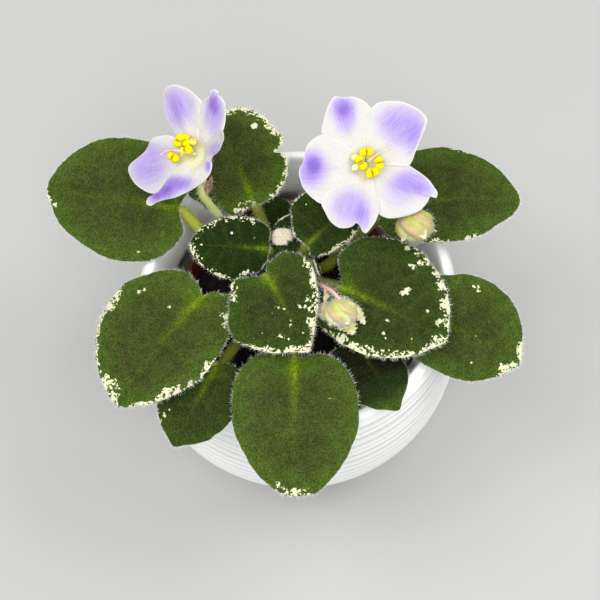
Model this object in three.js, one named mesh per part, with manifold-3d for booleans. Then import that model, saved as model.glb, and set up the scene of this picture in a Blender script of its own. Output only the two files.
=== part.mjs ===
// A potted african violet, in millimetres, +Z up.
// The origin is the middle of the ceramic pot's foot, on the surface that it stands on.
// The front, where the longest leaf hangs over the lip, is towards -Y.

import * as THREE from 'three';
import { mergeVertices } from 'three/addons/utils/BufferGeometryUtils.js';
import Module from 'manifold-3d';

const wasm = await Module();
wasm.setup();

// Driving dimensions

const CLEARANCE = 0.3;

const POT_HEIGHT = 80;
const POT_FOOT_RADIUS = 33;
const POT_SIDES = 32;
const POT_BODY = [
  [33.5, 0], [40, 7], [46, 16], [50.4, 25.5], [53.2, 36], [54, 47], [53.3, 58], [52, 68], [50.6, 77],
];
const RIB_TOP = 75.7;
const RIB_BOTTOM = 5;
const RIB_GAPS = [3.8, 2.5, 4.7, 3.5, 2.3, 3.9, 4.0, 3.4, 3.8, 3.6];
const RIB_RISE = 0.5;
const LIP = [[50.5, 77.4], [49.9, 79], [48.8, 79.9], [47.1, POT_HEIGHT]];
const POT_INSIDE = [
  [45.4, 76.5], [43.6, 71], [42.6, 64.5], [44.6, 56], [46.6, 46], [46.2, 34], [43, 22], [38, 13.5], [33, 9.4], [29.8, 8],
];
const POT_FLOOR = 8;

const NURSERY_RIM_Z = 66.5;
const NURSERY_RIM_RADIUS = 39.1;
const NURSERY_RIM_HEIGHT = 4;
const NURSERY_TOP_RADIUS = 37.6;
const NURSERY_FOOT_RADIUS = 29;
const NURSERY_WALL = 1;
const NURSERY_SIDES = 26;
const DRAIN_COUNT = 5;
const DRAIN_RADIUS = 2.5;
const DRAIN_RING = 19;

const SOIL_Z = 61.5;
const SOIL_CRUMB = 0.8;
const SOIL_SIDES = 24;

const CROWN_FOOT = [-4, 10, 50];
const CROWN_TOP_Z = 77.5;
const CROWN_RADIUS = 4.8;
const CROWN_SIDES = 14;
const ROOT_GAP = 0.35;

const BLADE_THICKNESS = 0.9;
const BLADE_SPOKES = 28;
const BLADE_RINGS = [0.45, 0.8, 1];
const BLADE_CENTRE = 0.46;
const BLADE_SQUARE = 0.7;
const NOTCH_WIDTH = 0.33;
const APEX_WIDTH = 0.22;
const SCALLOP = 0.012;
const PLEAT = 0.22;
const WAVE = 0.3;
const PETIOLE_SIDES = 6;
const PETIOLE_STEPS = 10;

const GREEN = '#3d5227';
const DARK_GREEN = '#2f411c';
const STALK_GREEN = '#9aa85a';
const PETAL_WHITE = '#efe9f6';
const ANTHER_YELLOW = '#f6dc12';
const STYLE_PINK = '#e6b3b0';
const CREAM = '#ead9c6';

// Each large leaf: where the blade begins and ends, its half widths to the left and right of the
// midrib, how far its two lobes reach back past the petiole (lobe), how much fuller the base is than
// the tip (full), how pointed the outline is (point), the small drawn-out apex, the turn about the
// midrib in degrees (roll), and the petiole: its root's direction on the crown, the root's height and
// the places that it passes.
const LEAVES = [
  { name: 'leaf_back_left', base: [-38.5, 23.5, 88], tip: [-82, 32, 84], left: 19.4, right: 21, lobe: 6,
    full: 0, point: 1.2, apex: 1.5, roll: -15, root: 159, rootZ: 64.5, through: [[-20, 15, 75], [-31, 18, 82.5]] },
  { name: 'leaf_back', base: [-14, 24, 90], tip: [-27, 57, 95], left: 15.5, right: 16.8, lobe: 3,
    full: -0.05, point: 1.25, apex: 1, roll: -15, root: 125, rootZ: 68, through: [[-9, 17.5, 79]] },
  { name: 'leaf_small_left', base: [-9, 9, 87], tip: [-34.5, 9.5, 89], left: 11, right: 10.5, lobe: 1.5,
    full: 0.1, point: 1.1, apex: 0.5, roll: -10, root: 176, rootZ: 71.5, through: [[-10.8, 9.5, 79]] },
  { name: 'leaf_small_right', base: [2.5, 8, 91], tip: [17.5, 21.5, 95], left: 14, right: 8.5, lobe: 2,
    full: -0.1, point: 1.1, apex: 0, roll: 13, root: 20, rootZ: 72, through: [[3, 9.5, 81]] },
  { name: 'leaf_centre', base: [-9.5, -7.5, 101], tip: [3.5, -30, 95], left: 11.2, right: 18.3, lobe: 6,
    full: 0.2, point: 1.3, apex: 2, roll: 5, root: -109, rootZ: 71.5, through: [[-7.6, 0, 84]] },
  { name: 'leaf_right', base: [13.5, -7.5, 94], tip: [46, -24, 90], left: 22, right: 16, lobe: 7,
    full: 0.05, point: 1.3, apex: 2, roll: 5, root: -45, rootZ: 71.5, through: [[6.5, -1.5, 84]] },
  { name: 'leaf_back_right', base: [29.5, 25, 88], tip: [73, 29, 84], left: 18.5, right: 14.5, lobe: 7,
    full: 0.05, point: 1.15, apex: 1, roll: 5, root: 14, rootZ: 64.5, through: [[9.6, 8.2, 76.5], [19.8, 15.2, 84.5]] },
  { name: 'leaf_front_right', base: [34, -10.6, 86], tip: [70.5, -27.6, 80.5], left: 17.8, right: 14.6, lobe: 3,
    full: 0, point: 1, apex: 2, roll: 10, root: -28, rootZ: 68, through: [[12, 1, 77], [24, -5, 82]] },
  { name: 'leaf_front', base: [-1, -31, 89], tip: [-1.5, -71.5, 80], left: 20, right: 19.5, lobe: 5.5,
    full: 0.05, point: 1.35, apex: 0, roll: -3, root: -86, rootZ: 68, through: [[-3, -10, 77], [-1.7, -22, 84]] },
  { name: 'leaf_front_left', base: [-30.5, -9.5, 90], tip: [-56.5, -42, 83], left: 17.5, right: 23, lobe: 6,
    full: 0, point: 1.35, apex: 1.5, roll: 5, root: -144, rootZ: 68, through: [[-17, -4, 79], [-25, -8.5, 86]] },
  { name: 'leaf_low_left', base: [-25, -30, 83.5], tip: [-38.5, -55, 78], left: 13.5, right: 13.5, lobe: 4,
    full: 0.2, point: 1.1, apex: 2, roll: 0, root: -118, rootZ: 64.5, through: [[-14, -10, 73], [-18.5, -19.5, 79.5]] },
  { name: 'leaf_low_right', base: [17.5, -22, 84], tip: [31.5, -44.5, 82], left: 11, right: 12.5, lobe: 2,
    full: 0.2, point: 1, apex: 2.5, roll: -5, root: -56, rootZ: 64.5, through: [[7, -7, 74], [12.5, -15, 80]] },
];

const YOUNG_LEAVES = [
  { name: 'young_leaf_shaded', base: [-5.5, 21, 72.5], tip: [-8, 34.5, 76], left: 6.5, right: 6, lobe: 1,
    full: 0, point: 1.1, apex: 0.5, roll: 0, root: 96, rootZ: 65.5, through: [], colour: DARK_GREEN },
  { name: 'young_leaf_folded', base: [-2.2, 19.3, 79], tip: [-5, 26.5, 82.5], left: 4.5, right: 4, lobe: 0.5,
    full: 0, point: 1.2, apex: 0.5, roll: 20, root: 80, rootZ: 71.5, through: [], colour: DARK_GREEN },
  { name: 'young_leaf_pale', base: [-6.6, 14, 84.5], tip: [-2, 14.4, 85.5], left: 2.7, right: 2.7, lobe: 0,
    full: 0, point: 0.6, apex: 0, roll: 0, root: 92, rootZ: 75.5, through: [], colour: CREAM },
  { name: 'young_leaf_edge', base: [5, 2.6, 85.5], tip: [7.6, -2.4, 90.5], left: 2.2, right: 2.8, lobe: 0,
    full: 0, point: 1.2, apex: 0.5, roll: -50, root: -28, rootZ: 76, through: [], colour: GREEN },
];

// Each flower: the middle of its throat, the way it faces, its petals as direction in degrees, length,
// width and forward bend, its stalk and the anther pairs as direction, distance and height.
const FLOWERS = [
  {
    name: 'flower_left', throat: [-32, 29.5, 112], facing: [-0.5, -0.4, 0.77],
    petals: [[109, 23.3, 13, 1.5], [60, 20, 14, 2], [0, 12.5, 14, 4], [-126, 20.5, 14, 1], [-168, 25, 17, 1]],
    stalkRoot: [150, 74.6], stalk: [[-17, 17, 77], [-25.5, 21.6, 81.5], [-30, 23.6, 91], [-29, 26.5, 99]],
    anthers: [[145, 4.2, 2.8], [98, 3.6, 2.8], [-150, 3.6, 2.8], [20, 2.6, 2.4]], style: [177, 9],
  },
  {
    name: 'flower_right', throat: [21.5, 25, 114], facing: [0.05, -0.4, 0.91],
    petals: [[112, 20.5, 18, 1], [44, 23, 23, 0.5], [-31, 23.5, 19, 0.5], [-107, 21.5, 20, 1], [180, 20.5, 20, 1]],
    stalkRoot: [58, 68.5], stalk: [[8, 18, 76], [17, 22, 86], [22, 26, 95], [21.6, 28.2, 102]],
    anthers: [[100, 3.6, 2.6], [5, 4, 2.6], [-70, 4, 2.6], [-160, 2.6, 2.6]], style: [40, 7.5],
  },
];
const PETAL_THICKNESS = 0.7;
const PETAL_SPOKES = 14;
const PETAL_RINGS = [0.55, 1];
const PETAL_TWIST = 0.9;
const THROAT = [
  [0, -5], [1.8, -5], [2.6, -3.2], [4.4, -0.6], [5.2, 0.3], [4.2, 0.35], [1.9, -2.5], [0, -3.1],
];
const STALK_RADIUS = 1.3;
const PEDICEL_RADIUS = 0.9;
const SEPAL = { length: 5.6, width: 2.6, thickness: 0.7 };
const ANTHER = { length: 1.7, width: 1.15 };

const BUD_FRONT = {
  root: [-75, 75.2], stalk: [[0.5, 0.5, 84], [6.3, -6.6, 93.5], [8.7, -10.8, 100], [10.8, -13.9, 103.2]],
  neck: [12.6, -16.2, 103.2], towards: [0.15, -0.75, -0.62], length: 9.3, radius: 4.5,
};
const BUD_SIDE = { neck: [10.2, -14.6, 100.4], towards: [-0.15, -0.8, -0.5], length: 5, radius: 1.8 };
const BUD_BACK = { neck: [35.6, 14.5, 103.6], towards: [0.2, -0.7, -0.6], length: 10.5, radius: 5.2 };
const BUD_BACK_STALK = [[21.8, 27, 98.5], [27.5, 23.5, 104], [33, 18, 105.2]];
const BUD_SIDES = 10;

// Solids and their assembly

function toManifold(geometry) {
  const bare = geometry.clone();
  bare.deleteAttribute('normal');
  bare.deleteAttribute('uv');
  const merged = mergeVertices(bare, 1e-4);
  const corners = merged.index.array;
  const triangles = [];
  for (let i = 0; i < corners.length; i += 3) {
    const [a, b, c] = [corners[i], corners[i + 1], corners[i + 2]];
    if (a !== b && b !== c && c !== a) {
      triangles.push(a, b, c);
    }
  }
  return new wasm.Manifold(new wasm.Mesh({
    numProp: 3,
    vertProperties: new Float32Array(merged.attributes.position.array),
    triVerts: new Uint32Array(triangles),
  }));
}

function fromPoints(points, triangles) {
  const geometry = new THREE.BufferGeometry();
  const flat = points.flatMap((point) => [point.x, point.y, point.z]);
  geometry.setAttribute('position', new THREE.Float32BufferAttribute(flat, 3));
  geometry.setIndex(triangles);
  return toManifold(geometry);
}

function joined(solids) {
  return solids.reduce((whole, solid) => whole.add(solid));
}

/** The largest body of a solid, without any loose scrap. */
function mainBody(solid) {
  const bodies = solid.decompose();
  return bodies.reduce((best, body) => (body.volume() > best.volume() ? body : best));
}

const plant = new THREE.Group();

function addPiece(name, solid, color, roughness) {
  const mesh = mainBody(solid).getMesh();
  const geometry = new THREE.BufferGeometry();
  geometry.setAttribute('position', new THREE.BufferAttribute(mesh.vertProperties, 3));
  geometry.setIndex(new THREE.BufferAttribute(mesh.triVerts, 1));
  geometry.computeVertexNormals();
  const piece = new THREE.Mesh(geometry, new THREE.MeshStandardMaterial({ color, roughness, metalness: 0 }));
  piece.name = name;
  plant.add(piece);
}

const vector = (list) => new THREE.Vector3(...list);
const degrees = THREE.MathUtils.degToRad;

/** A solid turned about Z from a closed profile of [radius, height]. */
function turned(profile, sides) {
  const lathe = new THREE.LatheGeometry(profile.map(([r, z]) => new THREE.Vector2(r, z)), sides);
  lathe.rotateX(Math.PI / 2);
  return toManifold(lathe);
}

/** A round stalk through the points, with a radius for each point. */
function stalk(points, radii, sides, steps) {
  const path = new THREE.CatmullRomCurve3(points, false, 'centripetal');
  const frames = path.computeFrenetFrames(steps, false);
  const vertices = [];
  const triangles = [];
  for (let i = 0; i <= steps; i += 1) {
    const at = path.getUtoTmapping(i / steps) * (points.length - 1);
    const low = Math.min(Math.floor(at), points.length - 2);
    const radius = THREE.MathUtils.lerp(radii[low], radii[low + 1], at - low);
    const middle = path.getPointAt(i / steps);
    for (let j = 0; j < sides; j += 1) {
      const turn = (2 * Math.PI * j) / sides;
      vertices.push(middle.clone()
        .addScaledVector(frames.normals[i], radius * Math.cos(turn))
        .addScaledVector(frames.binormals[i], radius * Math.sin(turn)));
    }
  }
  for (let i = 0; i < steps; i += 1) {
    for (let j = 0; j < sides; j += 1) {
      const next = (j + 1) % sides;
      const [a, b, c, d] = [i * sides + j, i * sides + next, (i + 1) * sides + next, (i + 1) * sides + j];
      triangles.push(a, b, c, a, c, d);
    }
  }
  for (const [end, flip] of [[0, true], [steps, false]]) {
    const centre = vertices.length;
    vertices.push(path.getPointAt(end / steps));
    for (let j = 0; j < sides; j += 1) {
      const [a, b] = [end * sides + j, end * sides + ((j + 1) % sides)];
      triangles.push(...(flip ? [centre, b, a] : [centre, a, b]));
    }
  }
  return fromPoints(vertices, triangles);
}

/** A thin closed sheet: rings of points about a middle, the same on both faces. */
function sheet(place, spokes, rings, thickness) {
  const faces = [thickness / 2, -thickness / 2];
  const size = 1 + spokes * rings.length;
  const points = [];
  for (const lift of faces) {
    points.push(place(0, 0, lift));
    for (const ring of rings) {
      for (let i = 0; i < spokes; i += 1) {
        points.push(place(ring, (2 * Math.PI * i) / spokes, lift));
      }
    }
  }
  const triangles = [];
  const at = (face, ring, i) => face * size + 1 + ring * spokes + (i % spokes);
  const push = (face, a, b, c) => triangles.push(...(face === 0 ? [a, c, b] : [a, b, c]));
  for (const face of [0, 1]) {
    for (let i = 0; i < spokes; i += 1) {
      push(face, face * size, at(face, 0, i), at(face, 0, i + 1));
      for (let ring = 1; ring < rings.length; ring += 1) {
        push(face, at(face, ring - 1, i), at(face, ring, i), at(face, ring, i + 1));
        push(face, at(face, ring - 1, i), at(face, ring, i + 1), at(face, ring - 1, i + 1));
      }
    }
  }
  const edge = rings.length - 1;
  for (let i = 0; i < spokes; i += 1) {
    const [a, b, c, d] = [at(0, edge, i), at(0, edge, i + 1), at(1, edge, i + 1), at(1, edge, i)];
    triangles.push(a, b, c, a, c, d);
  }
  return fromPoints(points, triangles);
}

// The ceramic pot

function ceramicPot() {
  const body = new THREE.SplineCurve(POT_BODY.map(([r, z]) => new THREE.Vector2(r, z))).getPoints(160);
  const bodyRadius = (z) => {
    const above = body.findIndex((point) => point.y >= z);
    const [low, high] = [body[above - 1], body[above]];
    return THREE.MathUtils.lerp(low.x, high.x, (z - low.y) / (high.y - low.y));
  };
  const ribs = [];
  let z = RIB_TOP;
  for (let i = 0; z > RIB_BOTTOM; i += 1) {
    const gap = RIB_GAPS[i % RIB_GAPS.length];
    ribs.unshift([bodyRadius(z) + RIB_RISE, z]);
    ribs.unshift([bodyRadius(z - gap / 2), z - gap / 2]);
    z -= gap;
  }
  const foot = [[0, 0], [POT_FOOT_RADIUS, 0], [bodyRadius(1.2), 1.2]];
  return turned([...foot, ...ribs, ...LIP, ...POT_INSIDE, [0, POT_FLOOR]], POT_SIDES);
}

// The nursery pot and the soil that it holds

const NURSERY_Z = POT_FLOOR + CLEARANCE;

function nurseryPot() {
  const rimFoot = NURSERY_RIM_Z - NURSERY_RIM_HEIGHT;
  const shell = turned([
    [0, NURSERY_Z], [NURSERY_FOOT_RADIUS, NURSERY_Z], [NURSERY_TOP_RADIUS, rimFoot],
    [NURSERY_RIM_RADIUS, rimFoot + 0.6], [NURSERY_RIM_RADIUS, NURSERY_RIM_Z - 0.4],
    [NURSERY_RIM_RADIUS - 0.4, NURSERY_RIM_Z], [NURSERY_RIM_RADIUS - 1.4, NURSERY_RIM_Z],
    [NURSERY_TOP_RADIUS - NURSERY_WALL, rimFoot + 0.6],
    [NURSERY_FOOT_RADIUS - NURSERY_WALL, NURSERY_Z + NURSERY_WALL], [0, NURSERY_Z + NURSERY_WALL],
  ], NURSERY_SIDES);
  let pot = shell;
  for (let i = 0; i < DRAIN_COUNT; i += 1) {
    const turn = (2 * Math.PI * i) / DRAIN_COUNT;
    const hole = new THREE.CylinderGeometry(DRAIN_RADIUS, DRAIN_RADIUS, 4 * NURSERY_WALL, 8);
    hole.rotateX(Math.PI / 2);
    hole.translate(DRAIN_RING * Math.cos(turn), DRAIN_RING * Math.sin(turn), NURSERY_Z);
    pot = pot.subtract(toManifold(hole));
  }
  return pot;
}

function soil() {
  const slack = NURSERY_WALL + CLEARANCE + 0.6;
  const low = NURSERY_Z + NURSERY_WALL + CLEARANCE;
  const rings = [0.25, 0.5, 0.75, 1];
  const edge = NURSERY_TOP_RADIUS - slack - 0.3;
  const points = [new THREE.Vector3(0, 0, low)];
  const foot = NURSERY_FOOT_RADIUS - slack;
  for (let i = 0; i < SOIL_SIDES; i += 1) {
    const turn = (2 * Math.PI * i) / SOIL_SIDES;
    points.push(new THREE.Vector3(foot * Math.cos(turn), foot * Math.sin(turn), low));
  }
  for (const ring of [...rings].reverse()) {
    for (let i = 0; i < SOIL_SIDES; i += 1) {
      const turn = (2 * Math.PI * i) / SOIL_SIDES;
      const [x, y] = [edge * ring * Math.cos(turn), edge * ring * Math.sin(turn)];
      const crumb = SOIL_CRUMB * (Math.sin(0.9 * x + 1.3 * y) + Math.sin(1.7 * x - 0.8 * y));
      points.push(new THREE.Vector3(x, y, SOIL_Z + crumb * (ring < 1 ? 1 : 0.5) - 1.5 * ring ** 4));
    }
  }
  points.push(new THREE.Vector3(0, 0, SOIL_Z));
  const triangles = [];
  const at = (row, i) => 1 + row * SOIL_SIDES + (i % SOIL_SIDES);
  for (let i = 0; i < SOIL_SIDES; i += 1) {
    triangles.push(0, at(0, i + 1), at(0, i));
    for (let row = 0; row < rings.length; row += 1) {
      triangles.push(at(row, i), at(row, i + 1), at(row + 1, i + 1));
      triangles.push(at(row, i), at(row + 1, i + 1), at(row + 1, i));
    }
    triangles.push(points.length - 1, at(rings.length, i), at(rings.length, i + 1));
  }
  const [x, y, z] = CROWN_FOOT;
  const hole = new THREE.CylinderGeometry(CROWN_RADIUS + 0.5, CROWN_RADIUS + 0.5, 30, 16);
  hole.rotateX(Math.PI / 2);
  hole.translate(x, y, z + 15 - CLEARANCE);
  return fromPoints(points, triangles).subtract(toManifold(hole));
}

// The crown, and the places on it where stalks begin

function crown() {
  const [x, y, z] = CROWN_FOOT;
  const geometry = new THREE.LatheGeometry([
    [0, z], [CROWN_RADIUS - 0.5, z], [CROWN_RADIUS, z + 3], [CROWN_RADIUS, CROWN_TOP_Z - 2.5],
    [CROWN_RADIUS * 0.75, CROWN_TOP_Z - 0.8], [0, CROWN_TOP_Z],
  ].map(([r, h]) => new THREE.Vector2(r, h)), CROWN_SIDES);
  geometry.rotateX(Math.PI / 2);
  geometry.translate(x, y, 0);
  return toManifold(geometry);
}

function rootPoint(angle, z) {
  const reach = CROWN_RADIUS + ROOT_GAP;
  const turn = degrees(angle);
  return new THREE.Vector3(CROWN_FOOT[0] + reach * Math.cos(turn), CROWN_FOOT[1] + reach * Math.sin(turn), z);
}

/** A little way straight out of the crown, and then further out and up. */
function outOf(root, reach) {
  const out = new THREE.Vector3(root.x - CROWN_FOOT[0], root.y - CROWN_FOOT[1], 0).normalize();
  return [
    root.clone().addScaledVector(out, 0.7 * reach),
    root.clone().addScaledVector(out, 1.6 * reach).add(new THREE.Vector3(0, 0, reach)),
  ];
}

// Leaves

function bladeAxes(leaf) {
  const base = vector(leaf.base);
  const along = vector(leaf.tip).sub(base);
  const length = along.length();
  along.normalize();
  const up = new THREE.Vector3(0, 0, 1).addScaledVector(along, -along.z).normalize();
  const side = new THREE.Vector3().crossVectors(along, up);
  const turn = degrees(leaf.roll);
  const normal = up.clone().multiplyScalar(Math.cos(turn)).addScaledVector(side, Math.sin(turn));
  const across = new THREE.Vector3().crossVectors(along, normal);
  return { base, along, across, normal, length };
}

/** The blade's outline in its own plane, at an angle from the tip: x across, y along the midrib. */
function bladeOutline(leaf, length, angle) {
  const side = Math.sin(angle);
  const ahead = Math.cos(angle);
  const middle = BLADE_CENTRE * length;
  const half = side > 0 ? leaf.right : leaf.left;
  const fromBase = (Math.PI - Math.abs(angle)) / NOTCH_WIDTH;
  const reach = ahead > 0
    ? (length - middle - leaf.apex) * ahead ** leaf.point + leaf.apex * Math.exp(-((angle / APEX_WIDTH) ** 2))
    : -(middle + leaf.lobe) * (-ahead) ** BLADE_SQUARE;
  return {
    x: half * side * (1 - leaf.full * ahead),
    y: middle + reach + leaf.lobe * Math.exp(-(fromBase ** 2)),
  };
}

/** How far the blade rises from its plane: arched along the midrib, hanging at the margin, grooved. */
function bladeRise(leaf, length, x, y) {
  const part = y / length;
  const half = (leaf.left + leaf.right) / 2;
  const arch = part > 0 ? 0.2 * length * part * (1 - part) : 0;
  const hang = 0.1 * half * Math.abs(x / half) ** 2.2;
  const groove = 0.05 * half * Math.exp(-((x / (0.16 * half)) ** 2));
  return arch - hang - groove;
}

function blade(leaf, axes) {
  const middle = BLADE_CENTRE * axes.length;
  const spokes = leaf.spokes ?? BLADE_SPOKES;
  const place = (ring, angle, lift) => {
    const signed = angle > Math.PI ? angle - 2 * Math.PI : angle;
    const rim = bladeOutline(leaf, axes.length, signed);
    const side = Math.round((angle * spokes) / (2 * Math.PI)) % 2 === 0 ? 1 : -1;
    const reach = ring * (1 + SCALLOP * side * ring);
    const x = rim.x * reach;
    const y = middle + (rim.y - middle) * reach;
    const relief = PLEAT * side * ring * (1.3 - ring) + WAVE * ring ** 3 * Math.sin(5 * angle);
    return axes.base.clone()
      .addScaledVector(axes.across, x)
      .addScaledVector(axes.along, y)
      .addScaledVector(axes.normal, bladeRise(leaf, axes.length, x, y) + relief + lift);
  };
  return sheet(place, spokes, leaf.rings ?? BLADE_RINGS, BLADE_THICKNESS);
}

function petiole(leaf, axes, thick) {
  const under = (part, drop) => axes.base.clone()
    .addScaledVector(axes.along, part * axes.length)
    .addScaledVector(axes.normal, bladeRise(leaf, axes.length, 0, part * axes.length) - drop);
  const root = rootPoint(leaf.root, leaf.rootZ);
  const stem = [root, ...outOf(root, thick), ...leaf.through.map(vector)];
  const last = stem[stem.length - 1];
  const join = under(0, thick);
  const before = join.clone().add(last.clone().sub(join).setLength(2 * thick));
  const points = [...stem, before, join, under(0.2, 0.55 * thick), under(0.42, 0.15 * thick)];
  const radii = points.map(() => thick);
  radii[0] = 0.85 * thick;
  radii.splice(-3, 3, 0.9 * thick, 0.5 * thick, 0.28 * thick);
  return stalk(points, radii, PETIOLE_SIDES, PETIOLE_STEPS);
}

function leafSolid(leaf, thick) {
  const axes = bladeAxes(leaf);
  return blade(leaf, axes).add(petiole(leaf, axes, thick));
}

// Flowers and buds

function facingAxes(direction) {
  const out = vector(direction).normalize();
  const right = new THREE.Vector3(1, 0, 0).addScaledVector(out, -out.x).normalize();
  const up = new THREE.Vector3().crossVectors(out, right);
  return { out, right, up };
}

/** Moves a solid that faces +Z so that it faces out of a point. */
function seated(solid, origin, axes) {
  const turn = new THREE.Matrix4().makeBasis(axes.right, axes.up, axes.out).setPosition(origin);
  return solid.transform(turn.elements);
}

/** A petal or sepal that lies along +X from start to length, a little twisted, and bends towards +Z. */
function petal([start, length], width, bend, thickness, spokes, rings) {
  const middle = (start + length) / 2;
  const reach = (length - start) / 2;
  return sheet((ring, angle, lift) => {
    const x = middle + reach * ring * Math.cos(angle);
    const y = -(width / 2) * ring * Math.sin(angle) * (1 + 0.25 * Math.cos(angle));
    const far = x / length;
    const twist = PETAL_TWIST * (y / (width / 2)) * far;
    return new THREE.Vector3(x, y, bend * far ** 2 + twist + lift);
  }, spokes, rings, thickness);
}

function corolla(flower) {
  const petals = flower.petals.map(([angle, length, width, bend]) => (
    petal([3, length], width, bend, PETAL_THICKNESS, PETAL_SPOKES, PETAL_RINGS).rotate([0, 0, angle])));
  return joined([turned(THROAT, 10), ...petals]);
}

function anthers(flower) {
  const column = stalk([vector([0, 0, -2.2]), vector([0, 0, 1])], [0.6, 0.6], 6, 1);
  const parts = [column];
  for (const [angle, distance, height] of flower.anthers) {
    const turn = degrees(angle);
    const [x, y] = [distance * Math.cos(turn), distance * Math.sin(turn)];
    parts.push(stalk([vector([0, 0, 0]), vector([0.5 * x, 0.5 * y, 0.55 * height]),
      vector([x, y, height])], [0.4, 0.4, 0.4], 5, 2));
    for (const sign of [-1, 1]) {
      const lobe = new THREE.SphereGeometry(1, 6, 4);
      lobe.scale(ANTHER.length, ANTHER.width, ANTHER.width);
      lobe.translate(0, sign * 0.9, 0);
      lobe.rotateZ(turn);
      lobe.translate(x, y, height);
      parts.push(toManifold(lobe));
    }
  }
  return joined(parts);
}

function style(flower) {
  const [angle, reach] = flower.style;
  const turn = degrees(angle);
  const [x, y] = [reach * Math.cos(turn), reach * Math.sin(turn)];
  const tube = stalk([vector([0, 0, 1.35]), vector([0, 0, 3.4]), vector([0.45 * x, 0.45 * y, 6.2]),
    vector([x, y, 6.6])], [0.35, 0.35, 0.35, 0.35], 5, 4);
  const stigma = new THREE.SphereGeometry(0.6, 6, 4);
  stigma.translate(x, y, 6.6);
  return tube.add(toManifold(stigma));
}

/** A calyx that faces +Z: a receptacle with five narrow sepals spread round the flower's tube. */
function calyx() {
  const receptacle = new THREE.SphereGeometry(2.1, 8, 6);
  receptacle.translate(0, 0, -7.4);
  const sepals = [0, 1, 2, 3, 4].map((i) => (
    petal([0.8, SEPAL.length], SEPAL.width, 2.4, SEPAL.thickness, 6, [1])
      .translate([0, 0, -7.4])
      .rotate([0, 0, 72 * i + 20])));
  return joined([toManifold(receptacle), ...sepals]);
}

/** A closed bud that hangs from its neck: five rounded sepals over the folded petals. */
function bud({ neck, towards, length, radius }) {
  const sphere = new THREE.SphereGeometry(1, BUD_SIDES, 7);
  sphere.rotateX(Math.PI / 2);
  const places = sphere.attributes.position;
  for (let i = 0; i < places.count; i += 1) {
    const [x, y, z] = [places.getX(i), places.getY(i), places.getZ(i)];
    const ridge = 1 + 0.13 * Math.cos(5 * Math.atan2(y, x)) * Math.hypot(x, y);
    places.setXYZ(i, x * ridge * radius, y * ridge * radius, ((z + 1) / 2) * length);
  }
  const tips = [0, 1, 2, 3, 4].map((i) => (
    petal([0.2 * length, 0.62 * length], 0.3 * length, 0, SEPAL.thickness, 6, [1])
      .rotate([0, -50, 0])
      .translate([0.22 * length, 0, 0.34 * length])
      .rotate([0, 0, 72 * i])));
  return seated(joined([toManifold(sphere), ...tips]), vector(neck), facingAxes(towards));
}

/** The thin stalk that carries a bud: through the points, into the bud's neck. */
function pedicel(points, { neck, towards }, steps) {
  const into = vector(neck).addScaledVector(facingAxes(towards).out, 1.2);
  const path = [...points, vector(neck), into];
  return stalk(path, path.map(() => PEDICEL_RADIUS), 5, steps);
}

function flowerStalk(flower, axes, extra) {
  const throat = vector(flower.throat);
  const behind = (back) => throat.clone().addScaledVector(axes.out, -back);
  const root = rootPoint(...flower.stalkRoot);
  const points = [root, ...outOf(root, 1.2), ...flower.stalk.map(vector), behind(11), behind(8)];
  const stem = stalk(points, points.map(() => STALK_RADIUS), 6, 14);
  return joined([stem, seated(calyx(), throat, axes), ...extra]);
}

// The assembly

addPiece('ceramic_pot', ceramicPot(), '#f1f1ec', 0.45);
addPiece('nursery_pot', nurseryPot(), '#5a2410', 0.5);
addPiece('soil', soil(), '#17130f', 0.95);
addPiece('crown', crown(), STALK_GREEN, 0.8);

for (const leaf of LEAVES) {
  addPiece(leaf.name, leafSolid(leaf, 1.9), GREEN, 0.8);
}
for (const leaf of YOUNG_LEAVES) {
  addPiece(leaf.name, leafSolid({ ...leaf, spokes: 14, rings: [0.6, 1] }, 1), leaf.colour, 0.8);
}

const backBud = [bud(BUD_BACK), pedicel(BUD_BACK_STALK.map(vector), BUD_BACK, 6)];
for (const flower of FLOWERS) {
  const axes = facingAxes(flower.facing);
  const throat = vector(flower.throat);
  const extra = flower.name === 'flower_right' ? backBud : [];
  addPiece(`${flower.name}_stalk`, flowerStalk(flower, axes, extra), STALK_GREEN, 0.8);
  addPiece(`${flower.name}_corolla`, seated(corolla(flower), throat, axes), PETAL_WHITE, 0.7);
  addPiece(`${flower.name}_anthers`, seated(anthers(flower), throat, axes), ANTHER_YELLOW, 0.7);
  addPiece(`${flower.name}_style`, seated(style(flower), throat, axes), STYLE_PINK, 0.6);
}

const frontRoot = rootPoint(...BUD_FRONT.root);
addPiece('bud_front', joined([
  pedicel([frontRoot, ...outOf(frontRoot, PEDICEL_RADIUS), ...BUD_FRONT.stalk.map(vector)], BUD_FRONT, 14),
  bud(BUD_FRONT),
  pedicel([vector(BUD_FRONT.stalk[2])], BUD_SIDE, 3),
  bud(BUD_SIDE),
]), STALK_GREEN, 0.8);

export default plant;
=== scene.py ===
"""Potted african violet: the looks of its leaves, flowers, buds, soil and pots.

Lengths are in millimetres until a mesh is made.
"""

import math
import random

import bmesh
import bpy
from mathutils import Matrix, Vector, noise


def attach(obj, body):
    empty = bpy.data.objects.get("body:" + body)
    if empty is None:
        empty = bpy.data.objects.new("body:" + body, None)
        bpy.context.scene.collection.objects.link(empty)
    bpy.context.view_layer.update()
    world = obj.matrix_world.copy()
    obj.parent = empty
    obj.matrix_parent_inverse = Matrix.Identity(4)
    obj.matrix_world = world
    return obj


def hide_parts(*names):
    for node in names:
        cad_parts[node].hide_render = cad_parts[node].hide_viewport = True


bl_info = {
    "name": "Potted African Violet",
    "version": (1, 0, 0),
    "blender": (4, 5, 0),
    "location": "View3D > Sidebar > Violet",
    "description": "Builds a potted african violet: leaves, flowers, buds, soil and pots",
    "category": "Add Mesh",
}

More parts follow.
